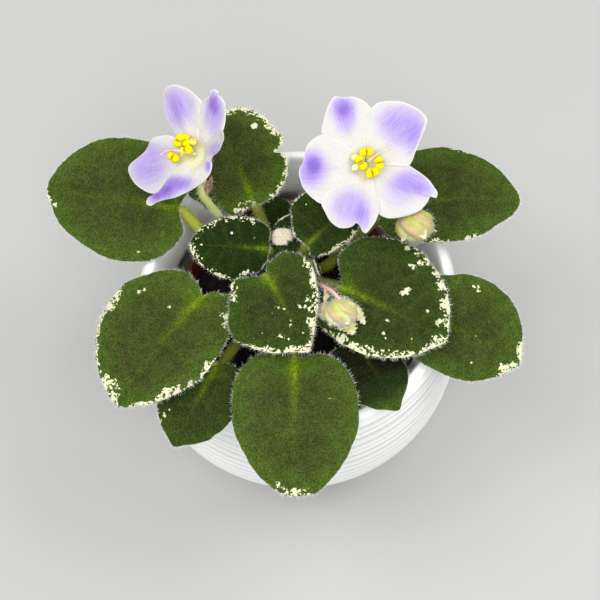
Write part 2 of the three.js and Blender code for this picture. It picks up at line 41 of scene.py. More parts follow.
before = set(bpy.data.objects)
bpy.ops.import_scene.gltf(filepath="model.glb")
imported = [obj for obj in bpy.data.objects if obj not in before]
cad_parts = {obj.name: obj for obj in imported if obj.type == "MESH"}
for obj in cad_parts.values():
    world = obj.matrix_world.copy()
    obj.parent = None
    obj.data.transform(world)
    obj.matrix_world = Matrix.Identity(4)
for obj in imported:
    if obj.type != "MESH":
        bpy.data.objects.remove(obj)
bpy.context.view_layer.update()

MM = 0.001
Z = Vector((0, 0, 1))

# The leaves. base and tip are where a blade begins and ends, half its widths left and right of the midrib,
# lobe how far the lobes reach back, full how full the base is, point how pointed the outline is, apex the
# drawn-out tip and roll the turn about the midrib. root is the petiole's place on the crown (direction,
# height) and through lists the places that it passes. bulges push the margin out (degrees from the tip,
# amount, width). tone_and_shade darkens the green, in part as a darker leaf and in part as painted shade,
# and above 1 as deep painted shade, with tone_and_shade_tip for the outer half, and bright lights up the
# petiole. cream lists arcs of the margin (from, to, depth, strength), and specks are single marks (across,
# along, radius). below is a second blade under the first.

LEAF_DEFAULTS = {
    "lobe": 0, "full": 0, "apex": 0, "roll": 0, "through": [], "bright": 0,
    "bulges": [], "cream": [], "specks": [],
}
LEAVES = {
    "leaf_back_left": {
        "base": (-38.5, 23.5, 88), "tip": (-82, 32, 84), "half": (19.4, 21), "lobe": 6, "point": 1.2,
        "apex": 1.5, "roll": -15, "root": (159, 64.5), "through": [(-20, 15, 75), (-31, 18, 82.5)],
        "bulges": [
            (-105, 0.6, 25), (-40, -0.6, 20), (0, 0.4, 8), (50, 0.4, 20), (24, 1.2, 20), (58, 0.8, 18),
            (8, 0.4, 8), (-145, -0.7, 15), (-66, -0.9, 20),
        ],
        "bright": 0.75, "tone_and_shade": 0.0, "cream": [(-12, 2, 1.2)],
        "specks": [(-2, 43.6, 1.3), (-4.3, 40.9, 1.0), (-16.2, 10.2, 0.6)],
    },
    "leaf_back": {
        "base": (-14, 24, 90), "tip": (-27, 57, 95), "half": (15.5, 16.8), "lobe": 3, "full": -0.05,
        "point": 1.25, "apex": 1, "roll": -15, "root": (125, 68), "through": [(-9.6, 17.5, 79)],
        "bulges": [
            (-94, 3.2, 8), (-105, 1.2, 10), (-117, 1.2, 9), (-134, -0.8, 8), (125, -1.1, 22), (97, -3.4, 3.5),
            (63, -0.9, 3), (150, -0.4, 15), (10, -1.6, 10), (73, -0.6, 8), (125, 0.5, 12), (170, 0.5, 8),
        ],
        "tone_and_shade": 0.0, "cream": [(8, 82, 3.2), (82, 100, 1.4), (100, 160, 2.0)],
        "specks": [
            (9.8, 23.7, 1.3), (14, 21.2, 1.8), (-4.6, 0.4, 1.9), (-5.6, 0.2, 1.5), (-4.4, 1.5, 1.2),
            (-3.2, 1.7, 0.9), (-2.2, 1.5, 0.8), (-1.2, 1.1, 0.8), (-0.2, 0.4, 0.8), (-3.1, -0.6, 0.9),
            (-16.9, 8.3, 1.2),
        ],
    },
    "leaf_small_left": {
        "base": (-9, 9, 87), "tip": (-34.5, 9.5, 89), "half": (11, 10.5), "lobe": 1.5, "full": 0.1,
        "point": 1.1, "apex": 0.5, "roll": -10, "root": (176, 71.5), "through": [(-10.8, 9.5, 79)],
        "bulges": [
            (180, -0.8, 45), (-135, -1.4, 20), (-110, -1.8, 14), (178, 0.8, 8), (-150, -0.6, 10),
            (142, 0.5, 12),
        ],
        "tone_and_shade": 1.0, "cream": [(-125, 125, 2.5, 0.8), (-34, 40, 3.0, 0.9), (40, 118, 3.2, 0.85)],
        "specks": [
            (4.3, 12.2, 0.7), (3.2, 5.1, 0.5), (0.2, 21.7, 0.7), (-8.6, 6.6, 0.7), (9.6, 14.5, 1.2),
            (9.8, 9.5, 1.0), (8.6, 5.6, 1.2),
        ],
    },
    "leaf_small_right": {
        "base": (2.5, 8, 91), "tip": (17.5, 21.5, 95), "half": (14, 8.5), "lobe": 2, "full": -0.1, "point": 1.1,
        "roll": 13, "root": (20, 72), "through": [(3, 9.5, 81)],
        "bulges": [
            (-120, -1.0, 30), (-155, -0.5, 12), (125, -0.8, 20), (-130, -1.1, 15), (170, -0.9, 15),
            (97, -0.7, 12), (-72, -0.8, 15),
        ],
        "tone_and_shade": 0.75, "cream": [(-175, -60, 1.3, 0.65), (55, 140, 1.9, 0.85)], "specks": [(-9.6, 9.2, 0.5)],
    },
    "leaf_centre": {
        "base": (-9.5, -7.5, 101), "tip": (3.5, -30, 95), "half": (11.2, 18.3), "lobe": 6, "full": 0.2,
        "point": 1.3, "apex": 2, "roll": 5, "root": (-109, 71.5), "through": [(-7.6, 0, 84)],
        "bulges": [
            (-170, 1.2, 10), (-148, 0.8, 14), (-120, 2.0, 20), (118, -3.3, 18), (-45, -0.8, 20),
            (-104, 2.0, 10), (-122, 0.7, 8), (-172, 1.0, 5), (-155, -0.6, 6), (138, -2.0, 10), (171, 1.0, 6),
            (40, 0.6, 22),
        ],
        "tone_and_shade": 0.5,
        "cream": [(-80, -16, 4.2, 0.9), (-16, 72, 2.8), (-116, -78, 3.4), (128, 152, 3.2), (-70, 60, 0.6, 1.4)],
        "specks": [
            (1.4, 10.7, 0.7), (0.4, 11.7, 0.6), (2.2, 9.9, 0.5), (4.5, 11.3, 0.5), (1.1, 16.9, 0.8),
            (0.3, 15.6, 0.6), (9.7, 14.9, 0.7), (5.4, 18.2, 0.9), (4.6, 19.2, 0.6), (3.6, 20.5, 0.8),
            (-4.2, 13.3, 1.0), (-5.6, 14.2, 0.9), (-1.1, 20.8, 0.9), (-3.9, 18.6, 0.7), (-7.6, 13, 1.3),
            (-6.2, 15.6, 1.0), (12.9, 15.3, 0.6),
        ],
    },
    "leaf_right": {
        "base": (13.5, -7.5, 94), "tip": (46, -24, 90), "half": (22, 16), "lobe": 7, "full": 0.05, "point": 1.3,
        "apex": 2, "roll": 5, "root": (-45, 71.5), "through": [(6.5, -1.5, 84)],
        "bulges": [
            (-100, 0.8, 15), (-162, 1.4, 13), (125, 1.0, 15), (-60, -0.3, 12), (-128, 1.0, 15), (-95, 0.5, 15),
            (-45, 0.9, 25), (-20, 0.5, 12), (98, 0.8, 12),
        ],
        "tone_and_shade": 0.5,
        "cream": [
            (-112, -90, 2.2, 0.9), (-90, -52, 4.2, 0.85), (-52, -8, 5.2, 0.8), (-8, 22, 5.6, 0.9),
            (22, 100, 4.2, 0.75), (100, 122, 4.6, 0.8), (-50, 30, 0.45, 1.5), (30, 105, 0.5, 1.1),
        ],
        "specks": [
            (-16.3, 17.4, 1.2), (-7.4, 18.7, 1.3), (-6.2, 17.9, 1.1), (-8.4, 18.9, 0.9), (3.6, 17.8, 0.9),
            (8.2, 18.6, 0.9), (9.2, 19.6, 0.9), (-20.9, 16.5, 1.4), (-21.9, 12.3, 1.5), (-5, 27.7, 0.8),
            (5.2, 27.1, 0.7), (-2.5, 26.6, 0.7), (-3.7, 32.1, 1.5), (14.6, 8, 1.6), (14, 17.7, 1.9),
            (-18.8, 18.4, 1.4), (-14.8, 28.4, 2.0),
        ],
    },
    "leaf_back_right": {
        "base": (29.5, 25, 88), "tip": (73, 29, 84), "half": (18.5, 14.5), "lobe": 7, "full": 0.05,
        "point": 1.15, "apex": 1, "roll": 5, "root": (14, 64.5),
        "through": [(9.6, 8.2, 76.5), (19.8, 15.2, 84.5)],
        "bulges": [(-85, 0.9, 30), (50, -0.3, 15), (-88, 0.6, 9), (42, -0.8, 15)], "tone_and_shade": 0.1,
        "cream": [(-87, -66, 1.7, 0.9), (64, 80, 1.5, 0.85), (92, 102, 1.3, 0.85)],
        "specks": [(-18, 25, 1.1), (13.4, 13.6, 1.1), (-10.7, 15.6, 0.4), (12.3, 27.6, 0.7)],
    },
    "leaf_front_right": {
        "base": (34, -10.6, 86), "tip": (70.5, -27.6, 80.5), "half": (17.8, 14.6), "lobe": 3, "point": 1,
        "apex": 2, "roll": 10, "root": (-28, 68), "through": [(12, 1, 77), (24, -5, 82)],
        "bulges": [
            (-120, -0.6, 15), (-75, 0.7, 15), (-88, 1.3, 16), (-60, 1.0, 12), (-38, 0.8, 15), (-114, -0.9, 12),
            (-2, -0.6, 6), (44, -0.5, 12),
        ],
        "tone_and_shade": 0.06, "cream": [(-20, 20, 2.6, 0.85), (20, 34, 2.4, 0.8)],
        "specks": [
            (-15.4, 16.5, 0.9), (-14.9, 17.7, 0.8), (-14.4, 18.6, 0.7), (-0.7, 23.6, 0.45), (7.6, 26.2, 0.5),
            (2.2, 34.4, 0.5), (4.8, 35.3, 1.7), (3.8, 36.4, 1.2), (2.1, 38.4, 1.4), (-3.2, 38.2, 1.3),
        ],
    },
    "leaf_front": {
        "base": (-1, -31, 89), "tip": (-1.5, -71.5, 80), "half": (20, 19.5), "lobe": 5.5, "full": 0.05,
        "point": 1.35, "roll": -3, "root": (-86, 68), "through": [(-3, -10, 77), (-1.7, -22, 84)],
        "bulges": [
            (62, -0.9, 20), (28, -0.4, 12), (0, -0.5, 14), (180, 1.8, 13), (45, -0.6, 15), (22, -0.7, 12),
            (90, -0.7, 14), (-25, 0.5, 12),
        ],
        "tone_and_shade": 0.0, "cream": [(-20, 26, 1.0, 0.9)],
        "specks": [
            (4.2, 37.6, 1.2), (3.2, 38.4, 0.9), (-0.8, 39.5, 1.6), (1.6, 39.5, 1.4), (-2.2, 39.4, 1.2),
            (-5, 38.8, 1.4), (-10.8, 11.2, 0.45),
        ],
    },
    "leaf_front_left": {
        "base": (-30.5, -9.5, 90), "tip": (-56.5, -42, 83), "half": (17.5, 23), "lobe": 6, "point": 1.35,
        "apex": 1.5, "roll": 5, "root": (-144, 68), "through": [(-17, -4, 79), (-25, -8.5, 86)],
        "bulges": [
            (103, 0.8, 14), (162, 1.5, 9), (-163, 2.3, 12), (-143, 0.6, 10), (173, 2.2, 5), (-173, 2.8, 6),
            (98, 0.7, 8), (66, 0.6, 12), (-11, 0.6, 8),
        ],
        "tone_and_shade": 0.0,
        "cream": [
            (-162, -148, 2.4, 0.9), (-140, -122, 4.4, 0.9), (-100, -84, 1.8), (-80, -64, 1.8, 0.9),
            (-64, -38, 3.2, 0.95), (-38, -14, 1.6, 0.9), (-2, 22, 5.4), (22, 98, 2.0, 0.9), (84, 100, 4.2),
            (-60, 24, 0.35, 1.0),
        ],
        "specks": [
            (-12.4, 29.6, 1.9), (-11, 31.6, 1.5), (5.4, 8.3, 1.1), (17.2, 10, 1.1), (16.6, 8.6, 0.7),
            (-11, 0.3, 1.9), (-12.4, 1.2, 1.7), (-9.2, 0.2, 1.0), (-16, 15, 1.2),
        ],
    },
    "leaf_low_left": {
        "base": (-25, -30, 83.5), "tip": (-38.5, -55, 78), "half": (13.5, 13.5), "lobe": 4, "full": 0.2,
        "point": 1.1, "apex": 2, "root": (-118, 64.5), "through": [(-14, -10, 73), (-18.5, -19.5, 79.5)],
        "bulges": [(-60, -0.9, 22), (0, -0.7, 15), (-51, 0.7, 12), (-90, -1.2, 12), (-172, 1.7, 10)],
        "tone_and_shade": 0.55, "cream": [(36, 58, 1.0)], "specks": [(7, 21, 0.9), (6.4, 19, 0.7)],
    },
    "leaf_low_right": {
        "base": (17.5, -22, 84), "tip": (31.5, -44.5, 82), "half": (11, 12.5), "lobe": 2, "full": 0.2,
        "point": 1, "apex": 2.5, "roll": -5, "root": (-56, 64.5), "through": [(7, -7, 74), (12.5, -15, 80)],
        # painted shadow from leaf_right: deep painted shade near the base, much lighter on the outer half
        "bulges": [(0, -0.6, 8), (18, 0.5, 10), (-89, -1.0, 12), (33, 0.5, 10)], "tone_and_shade": 2.0, "tone_and_shade_tip": 0.2,
    },
}

YOUNG_LEAVES = {
    "young_leaf_shaded": {
        "base": (-5.5, 21, 72.5), "tip": (-8, 34.5, 76), "half": (6.5, 6), "lobe": 1, "point": 1.1, "apex": 0.5,
        "root": (96, 65.5), "tone_and_shade": 0.9,
    },
    "young_leaf_folded": {
        "base": (-2.2, 24.8, 80.5), "tip": (-7.6, 19.2, 82.5), "half": (3.6, 1), "lobe": 0.5, "point": 1.2,
        "apex": 0.5, "roll": 20, "root": (80, 71.5), "tone_and_shade": 0.8, "cream": [(10, 170, 1.9, 1.5)],
    },
    "young_leaf_pale": {
        "base": (-8.4, 14.6, 84.6), "tip": (-1.7, 14.4, 85.6), "half": (3.1, 3.1), "point": 0.6,
        "bulges": [(48, -1.1, 10), (20, 0.2, 12)],
        "below": {
            "base": (-9, 11, 81.5), "tip": (2, 12.6, 83), "half": (4.2, 3.8), "point": 0.9, "apex": 0.4,
            "tone_and_shade": 0.7,
        },
        "root": (92, 75.5), "tone_and_shade": 0.2, "cream": [(-200, 200, 30, 2.8)],
    },
    "young_leaf_edge": {
        "base": (5.4, 5.6, 86), "tip": (6.9, -2.2, 89.5), "half": (1.2, 1.2), "point": 1.2, "apex": 0.5,
        "roll": -50, "root": (-28, 76), "tone_and_shade": 0.5, "cream": [(-180, 180, 1.2)],
    },
}

# The crown, and what all leaves have in common

CROWN_FOOT = (-4, 10, 50)
CROWN_TOP = 77.5
CROWN_RADIUS = 4.8
ROOT_GAP = 0.35
BLADE_CENTRE = 0.46
BLADE_SQUARE = 0.7
BLADE_ARCH = 0.2
BLADE_HANG = 0.1
BLADE_GROOVE = 0.05
BLADE_NET = (144, 30)
YOUNG_BLADE_NET = (56, 14)
TYPICAL_HALF_WIDTH = 20
SIDE_VEINS = 7
NOTCH_WIDTH = 0.33
APEX_WIDTH = 0.22
PETIOLE_RADIUS = 1.9
YOUNG_PETIOLE_RADIUS = 1.0
PETIOLE_SIDES = 12
PETIOLE_STEPS = 42
HAIR_RADIUS = 0.035
MARGIN_HAIR_RADIUS = 0.04
DOWN_RADIUS = 0.03
HAIRS_IN_A_BATCH = 200

# The flowers: the middle of the throat, the way it faces, and the petals. A petal has its direction,
# length and forward bend, its lift over its neighbours, its outline in the flower's own plane, and its
# lavender patches (place, reach across and along, strength, how far they stay clear of the rim). The stalk
# leads from its root on the crown to its neck and on to the calyx, behind the throat. anthers come in pairs,
# the faded ones singly, and style is the pistil's line.

FLOWERS = {
    "flower_left": {
        "throat": (-32, 29.5, 112), "facing": (-0.5, -0.4, 0.77),
        "petals": [
            {
                "way": 60, "length": 20, "bend": 2, "lift": 0.0,
                "outline": [
                    (-1, 3.5), (1, 8), (2.5, 12), (3.5, 15), (4.5, 16.5), (6, 17), (7.7, 17.7), (7.5, 19),
                    (9.3, 19.3), (10.3, 18.3), (9.6, 17.7), (11, 17), (12.5, 15), (12.5, 12.5), (12, 9.5),
                    (11, 6.5), (8.5, 4.2), (5, 2.4), (1.6, 0.8), (-0.6, 0.8),
                ],
                "patches": [(8.8, 14.8, 1.8, 2.8, 0.4, 0.05), (8, 11.8, 2.8, 5.2, 0.4, 0.12)],
            },
            {
                "way": 109, "length": 23.3, "bend": 1.5, "lift": 0.5,
                "outline": [
                    (-3.4, 2.4), (-5.5, 4.4), (-7.5, 7.5), (-9.2, 10.3), (-10.2, 13.5), (-11, 17),
                    (-10.8, 19.4), (-9, 21), (-6.5, 21.6), (-4, 21), (-1.5, 20), (0.7, 18.5), (2.8, 16.8),
                    (4, 14.6), (3.8, 11.5), (2.5, 7.5), (1.2, 3), (0.2, 0.2), (-1.6, 1),
                ],
                "patches": [(-6.6, 14.6, 3.6, 5.4, 0.42, 0.05), (-2.6, 14.6, 3.4, 4.6, 0.2, 0.1)],
            },
            {
                "way": 0, "length": 12.5, "bend": 4, "lift": 0.3,
                "outline": [
                    (-0.5, 2), (4.5, 3.3), (9.5, 5.2), (13.8, 6.4), (14.6, 4.6), (13, 2), (10.5, 0), (8, -1),
                    (6.5, -2.5), (4, -2.2), (1, -1.4),
                ],
                "patches": [(9, 1, 3.4, 2, 0.36, 0.05)],
            },
            {
                "way": -126, "length": 20.5, "bend": 1, "lift": 0.9,
                "outline": [
                    (-0.5, 0), (2, 0), (4.5, -0.8), (6.7, -2.4), (7, -4), (6.2, -6.3), (4, -8.5), (0.5, -10.6),
                    (-3, -12.2), (-6.5, -13.5), (-10.5, -14.2), (-13.3, -15), (-15.4, -16), (-17.2, -15.4),
                    (-16.8, -13.6), (-15.8, -12.8), (-14, -12.4), (-12.5, -11), (-10, -8), (-7, -5.3), (-4, -2),
                ],
                "patches": [
                    (-6.4, -9.2, 5.2, 1.9, 0.7, 0.05), (-11.2, -12.1, 3.8, 1.6, 0.74, 0.04),
                    (5.8, -3.8, 1.2, 1.6, 0.7, 0.0), (-14.4, -13.8, 2, 1.2, 0.4, 0.0),
                ],
            },
            {
                "way": -168, "length": 25, "bend": 1, "lift": 0.4,
                "outline": [
                    (0, 0.4), (-0.8, -1.6), (-4.6, -4.2), (-7.6, -7.2), (-10.8, -10.2), (-13.8, -12),
                    (-16.3, -12), (-19.7, -10.5), (-22.6, -8.4), (-24.2, -6), (-24.4, -4), (-23.4, -2.4),
                    (-21, -0.8), (-18.7, 1), (-17.6, 2.5), (-16.9, 4), (-15.4, 5.2), (-13.5, 5.8), (-10, 6.1),
                    (-7, 5.2), (-3.5, 3.4), (-1, 1.6),
                ],
                "patches": [(-17, -4, 5.4, 5, 0.46, 0.06), (-13.4, 1.6, 4, 2.6, 0.16, 0.1)],
            },
        ],
        "stalk_root": (150, 74.6),
        "stalk": [(-17, 17, 77.5), (-24, 20.4, 84.5), (-26, 20.6, 90), (-28.3, 20.9, 96), (-30.4, 22.4, 101.4)],
        "neck": (-30, 28.6, 105.4), "calyx": -6.6,
        "anthers": [
            ((-4.4, 3.2), (-3.5, 5)), ((-1.5, 4.9), (-1.1, 3.2)), ((-2.4, 0.7), (-0.3, 1.1)),
            ((-6.9, -0.5), (-5.1, -1.5)),
        ],
        "fading": 0.3, "faded": [(0.9, 3.6)],
        "style": [(-1, 0.3, 3.2), (-4, 0.9, 4.3), (-7.8, 0.9, 4.1), (-9.7, -0.1, 4)],
    },
    "flower_right": {
        "throat": (21.5, 25, 114), "facing": (0.05, -0.4, 0.91),
        "petals": [
            {
                "way": 112, "length": 20.5, "bend": 1, "lift": 0.0,
                "outline": [
                    (-1, 0.8), (-3.5, 2.6), (-7, 4.5), (-10.5, 6.7), (-14, 9), (-13.8, 12), (-12.9, 15.5),
                    (-11.5, 18.7), (-10, 20.5), (-7.5, 20.2), (-5, 20.4), (-3, 20), (-0.8, 18.9), (1, 17.2),
                    (1.8, 15), (1.5, 12), (0.8, 8), (0, 4),
                ],
                "patches": [(-7.8, 17.2, 2.8, 2.6, 0.45, 0.03), (-6.8, 14.2, 2.8, 4.2, 0.4, 0.1)],
            },
            {
                "way": 44, "length": 23, "bend": 0.5, "lift": 0.5,
                "outline": [
                    (-0.5, 3), (-0.2, 7), (-0.2, 11.5), (0.2, 14.5), (1.2, 16.7), (2.8, 18.4), (4.8, 19.1),
                    (7.7, 19.2), (11, 18.9), (14, 17.7), (16.7, 16), (18.4, 13.8), (17.9, 11.2), (16.6, 7.5),
                    (15, 3.8), (13, -0.6), (9.5, -0.8), (4.5, -0.6), (1, -0.2),
                ],
                "patches": [
                    (11.4, 11.4, 5.4, 5.2, 0.46, 0.1), (14.8, 7, 2.6, 4.6, 0.22, 0.1),
                    (5.6, 13.4, 3, 3, 0.16, 0.1),
                ],
            },
            {
                "way": -31, "length": 23.5, "bend": 0.5, "lift": 0.0,
                "outline": [
                    (0.4, 0.6), (3, 1.8), (6.5, 2), (10, 1.4), (13, -0.6), (16.5, -3), (19.1, -5.2),
                    (20.6, -7.3), (21.7, -9), (21.2, -10.7), (19.7, -10.2), (18.6, -12), (16.5, -14.3),
                    (13.5, -15.8), (10, -16.7), (6.7, -17), (4, -16), (2.2, -13.5), (1, -10), (0.2, -5),
                    (-0.2, -1.2),
                ],
                "patches": [
                    (13.4, -5.6, 4.6, 3, 0.46, 0.05), (17.6, -8.4, 2.6, 1.8, 0.28, 0.02),
                    (9.6, -9, 4.4, 4, 0.2, 0.12),
                ],
            },
            {
                "way": 180, "length": 20.5, "bend": 1, "lift": 0.5,
                "outline": [
                    (-0.4, 0.6), (-1.5, -2.5), (-5.8, -5.2), (-8.6, -8.4), (-11.4, -11.2), (-14.4, -12.6),
                    (-16.7, -11.2), (-18.6, -9.5), (-20, -7.6), (-20.7, -5.5), (-21.2, -3.5), (-20.9, -1.6),
                    (-20, -0.2), (-19.6, 1.6), (-19.2, 3.7), (-18.4, 5.6), (-17, 7.1), (-15.4, 8.2), (-13, 8.8),
                    (-10, 7.6), (-6, 5), (-2.8, 3),
                ],
                "patches": [
                    (-17.4, -1.8, 4.4, 4.6, 0.46, 0.0), (-16.6, -0.6, 2, 2.6, 0.42, 0.0),
                    (-17.8, -5.2, 2.4, 2, 0.12, 0.0),
                ],
            },
            {
                "way": -107, "length": 21.5, "bend": 1, "lift": 1.0,
                "outline": [
                    (0.4, -0.4), (1.4, -3), (2, -6.5), (3.2, -10.5), (3.7, -14), (2.7, -17.5), (0.8, -20.3),
                    (-0.6, -21.7), (-1.8, -21), (-2.5, -19.4), (-3.6, -18.6), (-4.7, -19.6), (-6.6, -20.2),
                    (-9, -20), (-11.5, -18.1), (-13.2, -15.2), (-14.3, -12.5), (-13, -9.7), (-10, -7),
                    (-6, -3.8), (-2.6, -1.2),
                ],
                "patches": [(-5.2, -13.6, 4.8, 4.4, 0.44, 0.1), (-1.4, -17, 1.8, 3.2, 0.3, 0.03)],
            },
        ],
        "stalk_root": (58, 68.5), "stalk": [(8, 18, 76), (17, 22, 86), (22, 26, 95), (21.6, 28.2, 102)],
        "neck": (21, 29, 103.5), "calyx": -7.4,
        "anthers": [
            ((-1.5, 3), (0.4, 3.2)), ((3.1, 0.7), (3.5, -1.2)), ((2.2, -3), (0.3, -3.5)),
            ((-1.5, -1.3), (-2.9, 0.9)),
        ],
        "fading": 1.0, "faded": [(-4.2, 1.5), (-4, -1.6)],
        "style": [(0.2, 0.4, 3), (2.5, 2.1, 4.4), (6.3, 4, 4.6)],
    },
}
THROAT = [
    (1.8, -5), (2.2, -4.2), (2.7, -3.4), (3.5, -2.6), (4.3, -1.9), (4.8, -1.3), (4.3, -1.1), (3.4, -1.8),
    (2.5, -2.5), (1.7, -3), (0.8, -3.2),
]
THROAT_REACH = 4.3
THROAT_DEPTH = 1.2
PETAL_STEPS = 96
PETAL_RINGS = [0.06, 0.14, 0.24, 0.34, 0.44, 0.54, 0.63, 0.71, 0.78, 0.84, 0.89, 0.93, 0.96, 0.985, 1.0]
SEPALS = 5
SEPAL_TURN = 72
SEPAL_RINGS = [0.3, 0.6, 0.85, 1.0]
SEPAL_HALF_THICKNESS = 0.2
CALYX_RADIUS = 2.1
ANTHER_HEIGHT = 2.8
FILAMENT_RADIUS = 0.3
STYLE_RADIUS = 0.28
STIGMA_RADIUS = 0.42
STALK_RADIUS = 1.25
PEDICEL_RADIUS = 0.6
THIN_STALK_SIDES = 10

# Bracts on the left stalk and loose sepals of the front bud: from, to, facing, width, pale, brown.

BRACTS = [
    ((-29.7, 21.2, 98.0), (-28.9, 24.8, 105.4), (0.3, -0.6, 0.7), 3.6, 0.25, 0),
    ((-28.4, 21.8, 100.2), (-26.9, 25, 106.4), (0.5, -0.5, 0.7), 3.4, 0, 1),
    ((-30.8, 21.4, 99.6), (-30.4, 24.4, 105.2), (-0.3, -0.6, 0.7), 3.6, 0.1, 0),
]
LOOSE_SEPALS = [
    ((17.4, -17.4, 101), (20.6, -22.2, 97.6), (0.5, -0.5, 0.7), 4.2, 0.6, 0),
    ((14.9, -20.4, 98.4), (17.0, -25.0, 96.2), (0, -0.3, 0.9), 6.4, 0.25, 0),
    ((13.4, -20.6, 98.4), (13.2, -23.8, 96.6), (-0.2, -0.3, 0.9), 4.4, 0.5, 0),
    ((9.6, -13.6, 101.1), (7.9, -15.4, 100.9), (0, -0.3, 0.9), 1.9, 0.4, 0),
]

# The buds: where a bud's neck is, the way that it hangs, its length and radius, and how green its skin is.

BUDS = {
    "front": {"neck": (12.6, -16.2, 103.2), "towards": (0.15, -0.75, -0.62), "length": 8.5, "radius": 4.5},
    "side": {"neck": (8.5, -14.4, 96.6), "towards": (-0.1, -0.8, -0.4), "length": 5, "radius": 1.9},
    "back": {
        "neck": (35.6, 14.5, 103.6), "towards": (0.2, -0.7, -0.6), "length": 10.5, "radius": 5.2, "green": 0.55,
    },
}
BUD_FRONT_ROOT = (-75, 75.2)
BUD_FRONT_STALK = [(0.5, 0.5, 84), (6.3, -6.6, 93.5), (8.7, -10.8, 100), (10.8, -13.9, 103.2)]
BUD_BACK_STALK = [(21.8, 27, 98.5), (27.5, 23.5, 104), (33, 18, 105.2)]

# The pots, with outlines of (radius, height): the outside from the foot up, the lip, and the inside down.
# The ribs' gaps repeat from the top down.

POT_BODY = [
    (33.5, 0), (40, 7), (46, 16), (50.4, 25.5), (53.2, 36), (54, 47), (53.3, 58), (52, 68), (50.6, 77),
]
POT_FOOT_RADIUS = 33
RIB_TOP = 75.7
RIB_BOTTOM = 5
RIB_GAPS = [3.8, 2.5, 4.7, 3.5, 2.3, 3.9, 4.0, 3.4, 3.8, 3.6]
RIB_RISE = 0.5
RIB_STEPS = 8
POT_LIP = [(50.5, 77.4), (49.9, 79), (48.8, 79.9), (47.1, 80)]
POT_INSIDE = [
    (45.4, 76.5), (43.6, 71), (42.6, 64.5), (44.6, 56), (46.6, 46), (46.2, 34), (43, 22), (38, 13.5), (33, 9.4),
    (29.8, 8),
]
POT_FLOOR = 8
POT_INNER_SIDE = 47
SOIL_Z = 61.5
SOIL_RADIUS = 35.4
SOIL_DROP_AT_WALL = 1.5
SOIL_RINGS = 36
CLOD_HEIGHT = 0.64
CRUMBS_IN_A_BATCH = 100
SOIL_WAIST_RADIUS = 31.5
SOIL_WAIST_Z = 34.6
SOIL_FOOT_RADIUS = 27.1
SOIL_FOOT_Z = 9.6

# What the random draws start from, and where camera and lights are, in metres and degrees

SEEDS = {"leaves": 11, "young_leaves": 41, "flowers": 61, "front_bud": 71, "soil": 81, "lumps": 5}
CAMERA_PLACE = (0.00077, -0.2085, 0.5150)
CAMERA_TILT = 25
SENSOR_WIDTH = 36
LIGHTS = {
    "key_light": {"place": (-0.5, -0.1, 0.95), "size": 0.5},
    "back_light": {"place": (0.55, 0.15, 0.9), "size": 0.6},
    "fill_light": {"place": (0.05, -0.5, 0.95), "size": 0.5},
}
LIGHTS_AIM = (0, 0, 0.08)

# The colours of the finishes, as shares of red, green and blue light

LEAF_DULL, LEAF_FRESH = (0.043, 0.051, 0.008), (0.046, 0.071, 0.0105)
LEAF_NEAR_MARGIN = (0.060, 0.108, 0.010)
# the darker green, in part a darker leaf and in part painted shade, and the painted deep shade
LEAF_DARKER_AND_SHADED, LEAF_PAINTED_DEEP_SHADE = (0.010, 0.025, 0.0015), (0.008, 0.009, 0.0006)
LEAF_RIB, LEAF_RIB_BASE = (0.098, 0.165, 0.0025), (0.15, 0.225, 0.005)
LEAF_FUZZY_MARGIN = (0.36, 0.42, 0.22)
LEAF_UNDERSIDE = (0.20, 0.26, 0.13)
CREAM, CREAM_BLUSHED, CREAM_YOUNG = (0.74, 0.75, 0.47), (0.72, 0.62, 0.50), (0.84, 0.72, 0.58)
PETIOLE_SUNLIT = (0.36, 0.40, 0.02)
PETAL_WASH = [
    (0.03, (0.545, 0.53, 0.50)), (0.22, (0.425, 0.37, 0.54)), (0.42, (0.325, 0.245, 0.55)),
    (0.66, (0.21, 0.115, 0.46)), (0.95, (0.13, 0.055, 0.33)),
]
PETAL_RIM, PETAL_THROAT, PETAL_BACK = (0.64, 0.62, 0.60), (0.67, 0.635, 0.40), (0.80, 0.75, 0.88)
POLLEN_DEEP, POLLEN_BRIGHT = (0.84, 0.61, 0.0015), (0.90, 0.74, 0.002)
POLLEN_FADED, POLLEN_SLIT = (0.74, 0.67, 0.34), (0.30, 0.09, 0.002)
PISTIL_DARK, PISTIL_LIGHT = (0.60, 0.40, 0.40), (0.72, 0.58, 0.54)
SEPAL_DARK, SEPAL_LIGHT = (0.36, 0.385, 0.045), (0.50, 0.515, 0.13)
SEPAL_PALE, SEPAL_PINK, SEPAL_DRY = (0.66, 0.62, 0.41), (0.58, 0.30, 0.29), (0.25, 0.095, 0.065)
LEAF_HAIR, LEAF_DOWN = (0.93, 0.94, 0.86), (0.20, 0.26, 0.10)
PEAT = [(0.35, (0.003, 0.002, 0.0015)), (0.6, (0.012, 0.008, 0.005)), (0.74, (0.055, 0.028, 0.014))]
# the glaze's tints, and painted shade for the coves between the ribs
GLAZE_COOL, GLAZE_WARM, GLAZE_PAINTED_COVE_SHADE = (0.90, 0.90, 0.875), (0.93, 0.93, 0.91), (0.74, 0.74, 0.72)
PLASTIC, PLASTIC_SCUFFED = (0.105, 0.022, 0.008), (0.16, 0.055, 0.03)
FLOOR_DARK, FLOOR_LIGHT = (0.42, 0.42, 0.405), (0.44, 0.44, 0.425)
SKY = (0.96, 0.98, 1.0, 1)


# Lines and surfaces


